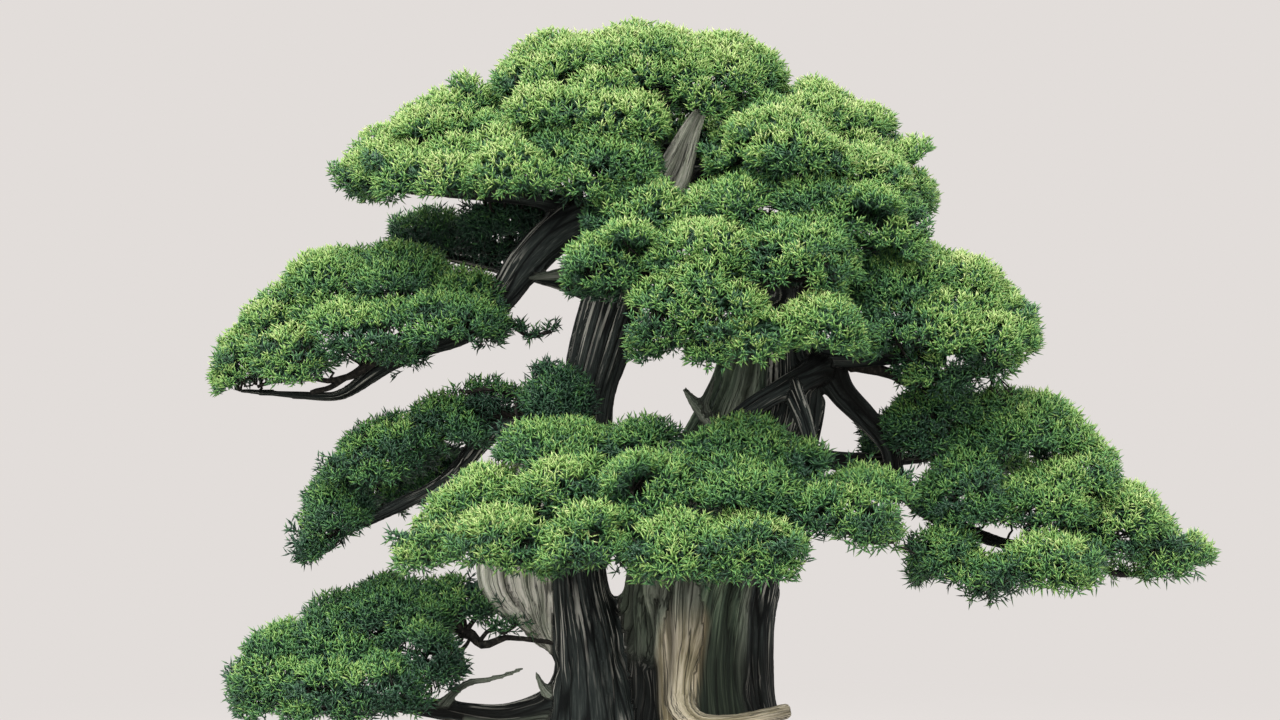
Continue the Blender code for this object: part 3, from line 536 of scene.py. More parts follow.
def wood_material():
    """Charcoal bark with pale fibres where the wood lives, and bleached flowing grain where it is dead."""
    shader = Shader("juniper_wood", 0.85, 0.15)
    grain = shader.attribute("grain", "Vector")
    dead, warmth, aged, hollow_shade = [shader.attribute(name) for name in ("dead", "warmth", "aged", "hollow_shade")]

    def streaks(share, scale, detail, roughness):
        return shader.noise(shader.along_grain(grain, share), scale, detail, roughness)

    strips = shader.cracks(shader.along_grain(grain, 0.05), 125.0)
    fibre = streaks(0.022, 560.0, 2.0, 0.5)
    fine = streaks(0.05, 900.0, 3.0, 0.6)
    patches = streaks(0.3, 34.0, 3.0, 0.5)
    bark = shader.ramp(fine, (0.35, (38, 43, 42)), (0.55, (53, 59, 57)), (0.75, (84, 88, 84)))
    bark = shader.mix(shader.mask(strips, 0.10, 0.02), bark, (22, 25, 25))
    pale = shader.times(shader.mask(fibre, 0.57, 0.61), shader.mask(patches, 0.42, 0.56))
    bark = shader.mix(pale, bark, (172, 171, 162))

    flow = streaks(0.06, 80.0, 3.0, 0.55)
    line = streaks(0.025, 330.0, 3.0, 0.6)
    tone = shader.plus(shader.times(flow, 0.5), shader.times(line, 0.5))
    bleached = shader.ramp(tone, (0.38, (120, 124, 110)), (0.46, (188, 190, 174)), (0.53, (228, 226, 212)),
                           (0.62, (240, 238, 228)))
    algae = shader.ramp(tone, (0.38, (78, 92, 76)), (0.6, (156, 168, 142)))
    bleached = shader.mix(shader.times(shader.mask(patches, 0.50, 0.68), 0.6), bleached, algae)
    tan = shader.ramp(tone, (0.38, (108, 98, 74)), (0.46, (170, 156, 124)), (0.58, (232, 218, 190)))
    grey = shader.ramp(tone, (0.38, (50, 60, 52)), (0.5, (80, 95, 79)), (0.62, (126, 142, 118)))
    bare = shader.mix(warmth, shader.mix(aged, bleached, grey), tan)
    split = shader.math("ABSOLUTE", shader.math("SUBTRACT", streaks(0.03, 120.0, 2.0, 0.5), 0.5))
    bare = shader.mix(shader.times(shader.mask(split, 0.020, 0.004), 0.75), bare, (48, 52, 46))

    wood = shader.mix(dead, bark, bare)
    # Painted shade: the wood goes near black in its hollows and under the hook.
    shader.colour(shader.mix(shader.times(hollow_shade, 0.85), wood, (20, 20, 19)))
    ridges = shader.plus(shader.mask(strips, 0.0, 0.25), shader.times(fibre, 1.6))
    threads = shader.plus(shader.times(line, 2.2), shader.mask(split, 0.0, 0.03))
    alive = shader.math("SUBTRACT", 1.0, dead)
    shader.bump(shader.plus(shader.times(ridges, alive), shader.times(threads, dead)), 0.0022, 0.9)
    return shader.material


def stoneware_material():
    """Dry unglazed clay: iron-brown body, darker in patches, pale bloom low down and dark pinholes."""
    shader = Shader("unglazed_stoneware", 0.62, 0.35)
    place = shader.object_place()
    patches = shader.noise(place, 9.0, 4.0, 0.6)
    speckle = shader.noise(place, 480.0, 2.0)
    body = shader.ramp(patches, (0.3, (70, 44, 34)), (0.5, (92, 60, 46)), (0.72, (112, 78, 60)))
    body = shader.mix(shader.times(shader.mask(speckle, 0.62, 0.7), 0.6), body, (48, 32, 26))
    rise = shader.node("SeparateXYZ", {0: place})
    bloom = shader.times(shader.mask(rise.outputs["Z"], 0.04, 0.0), shader.noise(place, 30.0, 4.0))
    shader.colour(shader.mix(shader.times(bloom, 0.5), body, (150, 130, 112)))
    shader.bump(shader.plus(shader.noise(place, 160.0, 4.0), shader.times(speckle, 0.6)), 0.0006, 0.5)
    return shader.material


def soil_material():
    shader = Shader("potting_soil", 0.95, 0.1)
    tone = shader.noise(shader.object_place(), 260.0, 4.0, 0.65)
    shader.colour(shader.ramp(tone, (0.3, (30, 24, 19)), (0.5, (62, 48, 36)), (0.75, (98, 78, 58))))
    shader.bump(tone, 0.0015, 1.0)
    return shader.material


def grit_material():
    shader = Shader("baked_clay_grit", 0.9, 0.15)
    shader.colour(shader.ramp(shader.attribute("tint"), (0.0, (44, 34, 27)), (0.35, (88, 66, 48)),
                              (0.65, (132, 104, 76)), (0.85, (160, 140, 116)), (1.0, (96, 94, 90))))
    return shader.material


def moss_material():
    shader = Shader("soil_moss", 0.7, 0.3)
    tone = shader.math("MULTIPLY_ADD", shader.attribute("along"), 0.4, shader.attribute("tint"))
    shader.colour(shader.ramp(tone, (0.1, (44, 58, 28)), (0.5, (86, 108, 46)), (0.9, (140, 152, 74))))
    return shader.material


def grained_material(name, roughness, specular, scale, detail, *stops):
    """Plain stuff with a fine grain of colour."""
    shader = Shader(name, roughness, specular)
    shader.colour(shader.ramp(shader.noise(shader.object_place(), scale, detail), *stops))
    return shader


def twig_material():
    return grained_material("twig_bark", 0.85, 0.15, 300.0, 3.0, (0.3, (22, 22, 22)), (0.55, (44, 42, 39)),
                            (0.8, (86, 82, 74))).material


def netting_material():
    return grained_material("black_netting", 0.5, 0.4, 400.0, 2.0, (0.3, (24, 24, 25)),
                            (0.7, (40, 40, 42))).material


def wire_material():
    shader = grained_material("anodised_wire", 0.4, 0.5, 350.0, 2.0, (0.3, (92, 64, 44)),
                              (0.7, (132, 96, 70)))
    shader.feed(shader.surface, {"Metallic": 1.0})
    return shader.material


# ---- limbs
def limb_curve(points, step=SAMPLE_STEP):
    """Stations (x, y, z, radius) in metres along the smooth curve through a limb's points."""
    knots = np.array(points, dtype=float) * MM
    knots = np.vstack([knots[0] * 2 - knots[1], knots, knots[-1] * 2 - knots[-2]])
    pieces = []
    for a, b, c, d in zip(knots, knots[1:], knots[2:], knots[3:]):
        count = max(2, int(np.linalg.norm((c - b)[:3]) / step))
        t = (np.arange(count) / count)[:, None]
        pieces.append(0.5 * (2 * b + (c - a) * t + (2 * a - 5 * b + 4 * c - d) * t * t
                             + (3 * b - a - 3 * c + d) * t ** 3))
    return np.vstack(pieces + [knots[-2:-1]])


def limb_frames(curve):
    """Tangent, side and depth directions at each station; depth is near world Y on an upright limb."""
    tangent = unit(np.gradient(curve[:, :3], axis=0))
    side = np.cross(np.array([0.0, 1.0, 0.0]), tangent)
    weak = np.linalg.norm(side, axis=1) < NEARLY_ALONG_Y
    side[weak] = (1.0, 0.0, 0.0)
    side = unit(side - tangent * np.sum(side * tangent, axis=1, keepdims=True))
    return tangent, side, np.cross(tangent, side)


def tube_arrays(curve, sides, depth_ratio=1.0):
    """Closed tube of triangles round a curve."""
    _, side, depth = limb_frames(curve)
    angle = math.tau * np.arange(sides) / sides
    offset = (side[:, None] * np.cos(angle)[None, :, None]
              + depth[:, None] * np.sin(angle)[None, :, None] * depth_ratio)
    return ring_skin(curve[:, None, :3] + offset * curve[:, None, 3:4], curve[[0, -1], :3])


def root_limb(bearing, start, reach, radius):
    direction = np.array([math.cos(math.radians(bearing)), math.sin(math.radians(bearing))])
    limb = []
    for share, height, thickness in ROOT_PROFILE:
        x, y = np.array(start) + direction * reach * share
        limb.append((x, y, height, radius * thickness))
    return limb


def all_limbs():
    """Every limb of the fused skin as (name, points, depth ratio)."""
    groups = (TRUNKS, DEADWOOD, BRANCHES)
    limbs = [(name, points, 1.0) for group in groups for name, points in group.items()]
    limbs.append(("fin", FIN, FIN_DEPTH_RATIO))
    limbs += [(f"root_{index}", root_limb(*root), 1.0) for index, root in enumerate(ROOTS)]
    return limbs


class Skeleton:
    """Stations of every limb, to tell which limb a point of the skin belongs to."""

    def __init__(self, limbs):
        curves = [limb_curve(points) for _, points, _ in limbs]
        counts = [len(curve) for curve in curves]
        self.names = np.array([name for name, _, _ in limbs])
        self.limb = np.repeat(np.arange(len(limbs)), counts)
        self.centre = np.vstack(curves)[:, :3]
        self.radius = np.vstack(curves)[:, 3]
        self.tangent, self.side, self.depth = [np.vstack(axes) for axes in zip(*map(limb_frames, curves))]
        steps = [np.linalg.norm(np.diff(curve[:, :3], axis=0), axis=1) for curve in curves]
        self.run = np.concatenate([np.concatenate([[0.0], np.cumsum(step)]) for step in steps])
        self.girth = np.repeat([np.median(curve[:, 3]) for curve in curves], counts)

    def nearest(self, points, chunk=6000):
        """For each point: its station, and how far it lies from the edge of its limb's territory."""
        centres = self.centre.astype(np.float32)
        radii = self.radius.astype(np.float32)
        best = np.empty(len(points), dtype=int)
        margin = np.empty(len(points))
        for start in range(0, len(points), chunk):
            block = points[start:start + chunk].astype(np.float32)
            far = ((block ** 2).sum(1)[:, None] + (centres ** 2).sum(1)[None] - 2 * block @ centres.T)
            gap = np.sqrt(np.maximum(far, 0)) - radii
            pick = gap.argmin(axis=1)
            own = gap[np.arange(len(block)), pick]
            gap[self.limb[pick][:, None] == self.limb[None, :]] = 1.0
            best[start:start + chunk] = pick
            margin[start:start + chunk] = gap.min(axis=1) - own
        return best, margin


def wood_coordinates(skeleton, points):
    """Grain coordinates of skin points: round the limb (two values) and along it."""
    best, margin = skeleton.nearest(points)
    offset = points - skeleton.centre[best]
    axes = skeleton.side[best], skeleton.depth[best]
    across = np.stack([np.sum(offset * axis, axis=1) for axis in axes], axis=1)
    around = across / np.maximum(np.linalg.norm(across, axis=1, keepdims=True), 1e-6)
    along = skeleton.run[best] + np.sum(offset * skeleton.tangent[best], axis=1)
    limb = skeleton.limb[best]
    grain = np.column_stack([around * skeleton.girth[best][:, None], along + limb * LIMB_SHIFT])
    return skeleton.names[limb], margin, around, grain, skeleton.radius[best]


def dead_share(names, around, points, grain):
    """Shares of bare dead wood, of tan and of aged grey in it, and of painted shadow under the hook."""
    x, y, height = points.T
    hook = names == "hook"
    right = names == "right_trunk"
    stub = np.isin(names, [name for name in DEADWOOD if name != "hook"])
    shelf = (names == "left_lower") & (x > SHELF_START)
    ragged = (noise(grain, (30, 30, 9), 5) - 0.5) * 0.35
    ribbon = noise(grain, (45, 45, 2.5), 77) - 0.5

    turn = np.radians(FACE_BEARING - FACE_TURN * blend_step(*FACE_TURN_HEIGHTS, height))
    facing = around[:, 0] * np.cos(turn) + around[:, 1] * np.sin(turn)
    face = blend_step(*FACE_EDGE, facing + ragged) * blend_step(*FACE_TOP, height)
    face *= 1 - blend_step(*FACE_FOOT, height) * blend_step(*FACE_FOOT_SIDE, x + ragged * 0.02)
    dead = np.where(hook | (names == "fin"), 1.0, np.where(stub, DEAD_STUB, 0.0))
    dead = np.where(right, face, dead)
    dead = np.where(names == "left_trunk", blend_step(*BARE_TIP, height + ragged * 0.03), dead)
    dead = np.where(shelf, DEAD_STUB * blend_step(*SHELF_EDGE, -around[:, 0] + ragged), dead)

    tan_hook = blend_step(*HOOK_TOP, height + ragged * 0.05)
    off_strip = x - STRIP_FOOT[0] - (height - STRIP_FOOT[1]) * STRIP_LEAN
    strip = np.exp(-(off_strip / STRIP_HALF_WIDTH) ** 2) * blend_step(*STRIP_TOP, height)
    strip = blend_step(*STRIP_EDGE, strip + ragged * 0.3) * (y < 0)
    warmth = np.where(right, strip * (0.9 + ribbon), np.where(hook, HOOK_WARMTH * tan_hook, 0.0))
    dull = 0.95 - 0.22 * blend_step(*DULL_LEFT, x)
    aged = np.where(right, dull + 0.7 * ribbon, np.where(stub | shelf, 0.8, 0.0))
    aged = np.where(hook, (0.85 + 0.7 * ribbon) * np.minimum(1, 2 - 2 * tan_hook), aged)

    beside = np.maximum(blend_step(*HOOK_SHADOW_RIGHT, x), blend_step(*HOOK_SHADOW_LEFT, x + ragged * 0.02))
    # Painted shadow: dark under the hook, on the front, to either side of the tan strip.
    hook_shadow = blend_step(*HOOK_SHADOW_TOP, height + ragged * 0.05) * beside * right * (y < 0)
    return dead, warmth.clip(0, 1), aged.clip(0, 1), hook_shadow


def carve_wood(obj, skeleton):
    """Push the fused skin in and out along the grain, and record what the material needs."""
    points = vertex_array(obj.data)
    normals = vertex_array(obj.data, "normal")
    names, margin, around, grain, radius = wood_coordinates(skeleton, points)
    dead, warmth, aged, hook_shadow = dead_share(names, around, points, grain)
    size = np.clip(radius / CARVED_FULL, 0.12, 1.0)
    settle = 0.25 + 0.75 * blend_step(0.0, 0.010, margin)
    wander = np.column_stack([noise(grain, (18, 18, 7), 41) - 0.5, noise(grain, (18, 18, 7), 43) - 0.5,
                              np.zeros(len(grain))])
    stray = GRAIN_WANDER[0] + GRAIN_WANDER[1] * dead * np.clip(radius / 0.03, 0, 1)
    grain = grain + wander * stray[:, None]

    flute = layered(grain, (26, 26, 4), 11, 2) - 0.5
    crack = blend_step(0.72, 0.95, crests(grain, (85, 85, 9), 21))
    plates = noise(grain, (190, 190, 16), 31) - 0.5
    bark = flute * FLUTE_DEPTH - crack * CRACK_DEPTH + plates * PLATE_DEPTH

    groove = blend_step(0.62, 0.96, crests(grain, (42, 42, 3.5), 51))
    ribs = noise(grain, (75, 75, 5), 61) - 0.5
    thread = noise(grain, (190, 190, 9), 71) - 0.5
    bare = ribs * RIB_DEPTH + thread * THREAD_DEPTH - groove * GROOVE_DEPTH

    push = (bark * (1 - dead) + bare * dead) * size * settle
    points += normals * push[:, None]
    obj.data.vertices.foreach_set("co", points.astype(np.float32).ravel())
    obj.data.update()
    # Painted shade: darker where the carving sinks in, joined by the painted shadow under the hook.
    hollow_shade = blend_step(*HOLLOW_BARK, bark) * (1 - dead) + blend_step(*HOLLOW_BARE, bare) * 0.75 * dead
    for name, values in (("grain", grain), ("dead", dead), ("warmth", warmth), ("aged", aged),
                         ("hollow_shade", np.maximum(hollow_shade, hook_shadow * 0.85))):
        set_attribute(obj, name, values)


def make_wood(material):
    limbs = all_limbs()
    tubes = [tube_arrays(limb_curve(points), TRUNK_SIDES if name in TRUNKS else LIMB_SIDES, depth_ratio)
             for name, points, depth_ratio in limbs]
    wood = mesh_object("trunks_and_branches", *joined(tubes))
    fuse = wood.modifiers.new("fuse", "REMESH")
    fuse.mode = "VOXEL"
    fuse.voxel_size = WOOD_VOXEL
    wood.modifiers.new("smooth", "SMOOTH").iterations = WOOD_SMOOTHING
    apply_modifiers(wood)
    carve_wood(wood, Skeleton(limbs))
    finish_piece(wood, material, "bark_and_deadwood", "trunk_and_branches")


# ---- foliage
def surface_points(verts, triangles, count, rng):
    """Points spread evenly over a mesh, each with its face's normal."""
    corner = verts[triangles]
    cross = np.cross(corner[:, 1] - corner[:, 0], corner[:, 2] - corner[:, 0])
    area = np.linalg.norm(cross, axis=1)
    pick = rng.choice(len(triangles), count, p=area / area.sum())
    u, v = rng.random((2, count))
    fold = u + v > 1
    u[fold], v[fold] = 1 - u[fold], 1 - v[fold]
    chosen = corner[pick]
    first, second = chosen[:, 1] - chosen[:, 0], chosen[:, 2] - chosen[:, 0]
    return chosen[:, 0] + u[:, None] * first + v[:, None] * second, unit(cross[pick])


def spaced(points, spacing):
    """Indices of points kept so that no two are nearer than the spacing."""
    cells, kept = {}, []
    for index, point in enumerate(points):
        cell = tuple(int(value // spacing) for value in point)
        near = (cells.get((cell[0] + i, cell[1] + j, cell[2] + k), ())
                for i in (-1, 0, 1) for j in (-1, 0, 1) for k in (-1, 0, 1))
        if all(np.dot(point - other, point - other) > spacing * spacing for group in near for other in group):
            cells.setdefault(cell, []).append(point)
            kept.append(index)
    return np.array(kept)


def search_tree(names):
    """Search tree over the surfaces of some nodes."""
    meshes = [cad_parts[name].data for name in names]
    verts, faces = joined([(vertex_array(mesh), triangle_array(mesh)) for mesh in meshes])
    return BVHTree.FromPolygons(verts.tolist(), faces.tolist())


def covered_share(others, point):
    """How much of the sky over a point is hidden by other pads."""
    covered = 0
    for index in range(SKY_RAYS):
        turn = SKY_TURN * index
        slope = SKY_SPREAD * math.sqrt(index / SKY_RAYS)
        ray = Vector((slope * math.cos(turn), slope * math.sin(turn) + SKY_LEAN, 1.0)).normalized()
        covered += others.ray_cast(Vector(point), ray, ROOF_HEIGHT)[0] is not None
    return covered / SKY_RAYS


def pad_clumps(node, rng):
    """Centres, radii and outward axes of a pad's clumps, which ones hang under it, and their shade."""
    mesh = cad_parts[node].data
    points, normals = surface_points(vertex_array(mesh), triangle_array(mesh), PAD_SAMPLES, rng)
    others = search_tree([name for name in PADS if name != node])
    own = search_tree([node])
    seen = np.array([others.ray_cast(Vector(point), Vector(normal), HIDDEN_BY)[0] is None
                     for point, normal in zip(points, normals)])
    points, normals = points[seen], normals[seen]
    top = normals[:, 2] > UNDERSIDE
    groups = []
    for chosen, spacing, under in ((top, CLUMP_SPACING, False), (~top, UNDER_SPACING, True)):
        place, facing = points[chosen], normals[chosen]
        keep = spaced(place, spacing)
        place, facing = place[keep], facing[keep]
        radius = rng.uniform(*CLUMP_RADIUS, len(place)) * (UNDER_SIZE if under else 1.0)
        axis = facing if under else unit(facing + (0, 0, CLUMP_RISE))
        gap = np.array([others.find_nearest(Vector(point))[3] for point in place])
        meeting = 1 - blend_step(*NEAR_PAD, gap)
        tilt = np.sum(facing * axis, axis=1) ** 2
        depth = radius * np.sqrt(1 - (1 - CLUMP_FLATNESS ** 2) * tilt) + TUFT_REACH * (1 - 1.4 * meeting)
        depth += rng.uniform(-CLUMP_SPREAD, CLUMP_SPREAD, len(place)) * (1 - meeting)
        centre = place - facing * depth[:, None]
        nearest = [own.find_nearest(Vector(point)) for point in centre]
        keep = np.array([(Vector(point) - spot).dot(normal) < -CLUMP_COVER
                         for point, (spot, normal, _, _) in zip(centre, nearest)])
        roof = np.array([covered_share(others, point) for point in centre[keep]])
        groups.append((centre[keep], radius[keep], axis[keep], np.full(keep.sum(), under), roof))
    return [np.concatenate(column) for column in zip(*groups)]


def squashed(offsets, axis, factor):
    """Offsets scaled by a factor along one axis."""
    return offsets + (factor - 1) * np.outer(offsets @ axis, axis)


def sphere_directions(count, turn):
    """Even directions on a sphere."""
    index = np.arange(count) + 0.5
    z = 1 - 2 * index / count
    angle = index * math.pi * (3 - math.sqrt(5)) + turn
    flat = np.sqrt(1 - z * z)
    return np.stack([flat * np.cos(angle), flat * np.sin(angle), z], axis=1)


def pad_tufts(clumps, rng):
    """Where each tuft sits, which way it grows, its tone with painted light and shade, and if it hangs under
    the pad.
    """
    centres, radii, axes, under, roof = clumps
    tufts = []
    for index, (centre, radius, axis, low) in enumerate(zip(centres, radii, axes, under)):
        spacing = TUFT_SPACING * (1.3 if low else 1.0)
        count = int(4 * math.pi * radius ** 2 / spacing ** 2)
        out = unit(sphere_directions(count, index) + rng.normal(0, 0.10, (count, 3)))
        dome = unit(axis + (0, 0, -0.1 if low else 0.35))
        out = out[out @ dome > (0.0 if low else -0.12)]
        spot = centre + squashed(out, axis, CLUMP_FLATNESS) * radius * rng.uniform(0.88, 1.08, (len(out), 1))
        near = np.linalg.norm(centres - centre, axis=1) < radius + radii.max()
        near[index] = False
        inside = np.zeros(len(out), dtype=bool)
        for other in np.flatnonzero(near):
            reach = np.linalg.norm(squashed(spot - centres[other], axes[other], 1 / CLUMP_FLATNESS), axis=1)
            inside |= reach < radii[other] * TUFT_OVERLAP
        # Painted light: tufts facing up and out along their clump are lighter, those facing down or inward
        # darker; plus a random tone.
        light = TUFT_LIGHT + 0.14 * out[:, 2] + 0.12 * (out @ axis) + rng.normal(0, 0.06, len(out))
        light += rng.normal(0, 0.035)
        # Painted shade under the pad, and under other pads above it.
        light -= (UNDER_SHADE if low else 0.0) + ROOF_SHADE * roof[index]
        keep = ~inside
        tufts.append((spot[keep], out[keep], light[keep], np.full(keep.sum(), low)))
    return [np.concatenate(column) for column in zip(*tufts)]


def spindles(start, direction, length, radius, tone):
    """Needles: each a slim closed spindle with three sides."""
    count = len(start)
    helper = np.where(np.abs(direction[:, 2:3]) < 0.9, [[0.0, 0.0, 1.0]], [[1.0, 0.0, 0.0]])
    side = unit(np.cross(direction, helper))
    depth = np.cross(direction, side)
    waist = start + direction * (length * WAIST)[:, None]
    verts = np.empty((count, 5, 3))
    verts[:, 0] = start
    verts[:, 4] = start + direction * length[:, None]
    for corner in range(3):
        angle = math.tau * corner / 3
        verts[:, 1 + corner] = waist + (side * math.cos(angle) + depth * math.sin(angle)) * radius[:, None]
    pattern = np.array([(0, 2, 1), (0, 3, 2), (0, 1, 3), (4, 1, 2), (4, 2, 3), (4, 3, 1)])
    faces = (np.arange(count)[:, None, None] * 5 + pattern).reshape(-1, 3)
    return verts.reshape(-1, 3), faces, np.clip(tone, 0.02, 0.98)


def tuft_shoots(places, outs, tones, rng, shade, loose):
    """Every tuft is a small spray: a stem that leans up and outward, with shoots all round it."""
    count = len(places)
    upward = np.array([0, 0, SPRAY_UP])
    lean = unit(outs * SPRAY_OUT + upward + rng.normal(0, SPRAY_STRAY + loose, (count, 3)))
    side = unit(np.cross(lean, rng.normal(0, 1, (count, 3))))
    depth = np.cross(lean, side)
    reach = rng.uniform(*SPRAY_LENGTH, count) * (1 + loose)
    base = places - lean * (reach * SPRAY_SEAT)[:, None]
    # Painted shade of the whole pad, and a random tone for each spray.
    tones = tones - shade + rng.normal(0, 0.05, count)
    sprays = [(base, lean, reach * 1.1, np.full(count, SHOOT_RADIUS), tones)]
    for index in range(SPRAY_SHOOTS):
        share = 0.22 + 0.66 * index / (SPRAY_SHOOTS - 1)
        turn = SPRAY_TURN * index + rng.uniform(-0.4, 0.4, count)
        spread = np.radians(rng.uniform(SPRAY_SPREAD[0], SPRAY_SPREAD[1] + 60 * loose, count))[:, None]
        outward = side * np.cos(turn)[:, None] + depth * np.sin(turn)[:, None]
        direction = unit(lean * np.cos(spread) + outward * np.sin(spread))
        start = base + lean * (reach * share)[:, None]
        length = rng.uniform(*SHOOT_LENGTH, count) * (1.15 - 0.4 * share) * (1 + loose)
        radius = SHOOT_RADIUS * rng.uniform(0.8, 1.15, count)
        sprays.append((start, direction, length, radius, tones + rng.normal(0, 0.09, count)))
    return [np.concatenate(column) for column in zip(*sprays)]


def inner_shoots(places, outs, rng, shade):
    """Older growth behind the tufts, dark in its own colour and darker still as painted shade inside the pad.
    """
    count = len(places) * INNER_SHOOTS
    out = np.repeat(outs, INNER_SHOOTS, axis=0)
    direction = unit(out * 0.5 + rng.normal(0, 0.8, (count, 3)))
    start = np.repeat(places, INNER_SHOOTS, axis=0) - out * rng.uniform(*INNER_DEPTH, (count, 1))
    length = rng.uniform(*INNER_LENGTH, count)
    tone = rng.uniform(0.02, 0.22, count) - shade * 0.5
    return start - direction * 0.005, direction, length, np.full(count, INNER_RADIUS), tone


def shoots_object(name, shoots, material, slot, *nodes):
    """Needles as one piece, with their tone and the way along them for the material."""
    verts, faces, tones = spindles(*shoots)
    obj = mesh_object(name, verts, faces)
    along = np.tile([0.02, 0.42, 0.44, 0.46, 0.98], len(tones))
    tint = np.repeat(tones, 5)
    set_attribute(obj, "tint", tint)
    set_attribute(obj, "along", along)
    set_colour_map(obj, tint + np.tile([0.0, -0.003, 0.003, 0.0, 0.0], len(tones)), along)
    finish_piece(obj, material, slot, *nodes)


def make_pad(node, seed, material):
    """Shoots of one pad; gives back its clumps and the places of its tufts."""
    rng = np.random.default_rng(SEED + seed)
    clumps = pad_clumps(node, rng)
    places, outs, tones, low = pad_tufts(clumps, rng)
    pad = node.removeprefix("foliage_")
    shade, loose = SHADE.get(pad, 0.0), LOOSE.get(pad, 0.0)
    name = "shoots_" + pad
    top = tuft_shoots(places[~low], outs[~low], tones[~low], rng, shade, loose)
    below = tuft_shoots(places[low], outs[low], tones[low], rng, shade, loose)
    inner = inner_shoots(places, outs, rng, shade)
    deep = [np.concatenate(pair) for pair in zip(below, inner)]
    shoots_object(name, top, material, "juniper_foliage", node)
    shoots_object(name + "_inner", deep, material, "juniper_foliage", node)
    return clumps, places


def make_sprigs(material):
    """Loose shoots that grow along bare strands outside the pads."""
    rng = np.random.default_rng(SEED + 300)
    places, outs, tones = [], [], []
    for strand, begin, tone in SPRIGS:
        curve = limb_curve(STRANDS[strand], 0.004)[:, :3]
        curve = curve[int(begin * len(curve)):]
        for centre in np.repeat(curve, 3, axis=0):
            out = unit(rng.normal(0, 1, 3) + (0, 0, 0.5))
            places.append(centre + out * rng.uniform(0.002, 0.009))
            outs.append(out)
            tones.append(tone + rng.normal(0, 0.05))
    tufts = np.array(places), np.array(outs), np.array(tones)
    shoots_object("loose_sprigs", tuft_shoots(*tufts, rng, 0.0, 0.2), material, "juniper_foliage")


# ---- twigs
def twig_tube(start, end, sag, radii, rng, steps, sides):
    """Crooked little twig from start to end that bows down by sag on its way."""
    t = np.linspace(0, 1, steps)[:, None]
    line = start + (end - start) * t
    line[:, 2] -= (np.sin(math.pi * t) * sag)[:, 0]
    line[1:-1] += rng.normal(0, TWIG_CROOK, (steps - 2, 3))
    return tube_arrays(np.hstack([line, radii[0] + (radii[1] - radii[0]) * t]), sides)


def make_twigs(pads, material):
    """Twigs from the nearest branch to each clump, twiglets on to some of its tufts, and the strands."""
    rng = np.random.default_rng(SEED + 500)
    stations = np.vstack([limb_curve(points) for points in [*BRANCHES.values(), *STRANDS.values()]])
    parts = []
    for clumps, places in pads:
        for centre, radius in zip(clumps[0], clumps[1]):
            penalty = (stations[:, 3] > THICK_BRANCH) * THICK_BRANCH_PENALTY
            root = stations[(np.linalg.norm(stations[:, :3] - centre, axis=1) + penalty).argmin()]
            seat = centre - np.array([0, 0, radius * 0.2])
            length = np.linalg.norm(seat - root[:3])
            steep = abs(seat[2] - root[2]) / length
            if length > TWIG_LENGTH - (TWIG_LENGTH - STEEP_TWIG) * steep:
                continue
            thick = min(root[3] * 0.5, 0.0010 + 0.010 * length)
            parts.append(twig_tube(root[:3], seat, TWIG_SAG * length, (thick, TWIG_TIP), rng, 7, 5))
            spots = places[np.linalg.norm(places - centre, axis=1) < radius * 1.15]
            for spot in spots[:: max(1, len(spots) // TWIGLETS)]:
                parts.append(twig_tube(seat, spot, 0.002, (TWIG_TIP, 0.0005), rng, 3, 3))
    for points in STRANDS.values():
        curve = limb_curve(points)
        curve[:, :3] += np.column_stack([noise(curve[:, :3], 60, seed) - 0.5 for seed in (1, 2, 3)]) * 0.006
        parts.append(tube_arrays(curve, 8))
    finish_piece(mesh_object("twigs", *joined(parts)), material, "bark_and_deadwood")


# ---- pot
def rounded_ring(half_x, half_y, corner, z, centre=(0.0, 0.0), steps=CORNER_STEPS):
    """Points round a rectangle with round corners."""
    ring = []
    for sign_x, sign_y, start in ((1, 1, 0), (-1, 1, 90), (-1, -1, 180), (1, -1, 270)):
        for step in range(steps + 1):
            angle = math.radians(start + 90 * step / steps)
            ring.append((centre[0] + sign_x * (half_x - corner) + corner * math.cos(angle),
                         centre[1] + sign_y * (half_y - corner) + corner * math.sin(angle), z))
    return np.array(ring)


def wall_inset(z):
    """How far the outer wall stands in from the rim at a height."""
    return LIP_REACH + POT_TAPER * (POT_HEIGHT - z) / (POT_HEIGHT - FOOT_HEIGHT)


def pot_ring(inset, z):
    return rounded_ring(POT_HALF[0] - inset, POT_HALF[1] - inset, max(POT_CORNER - inset, LEAST_CORNER), z)


def arc(centre, radius, start, end, steps):
    """Points (inset, z) along an arc, for rounded edges of the pot's profile."""
    angles = np.radians(np.linspace(start, end, steps))
    return [(centre[0] + radius * math.cos(a), centre[1] + radius * math.sin(a)) for a in angles]


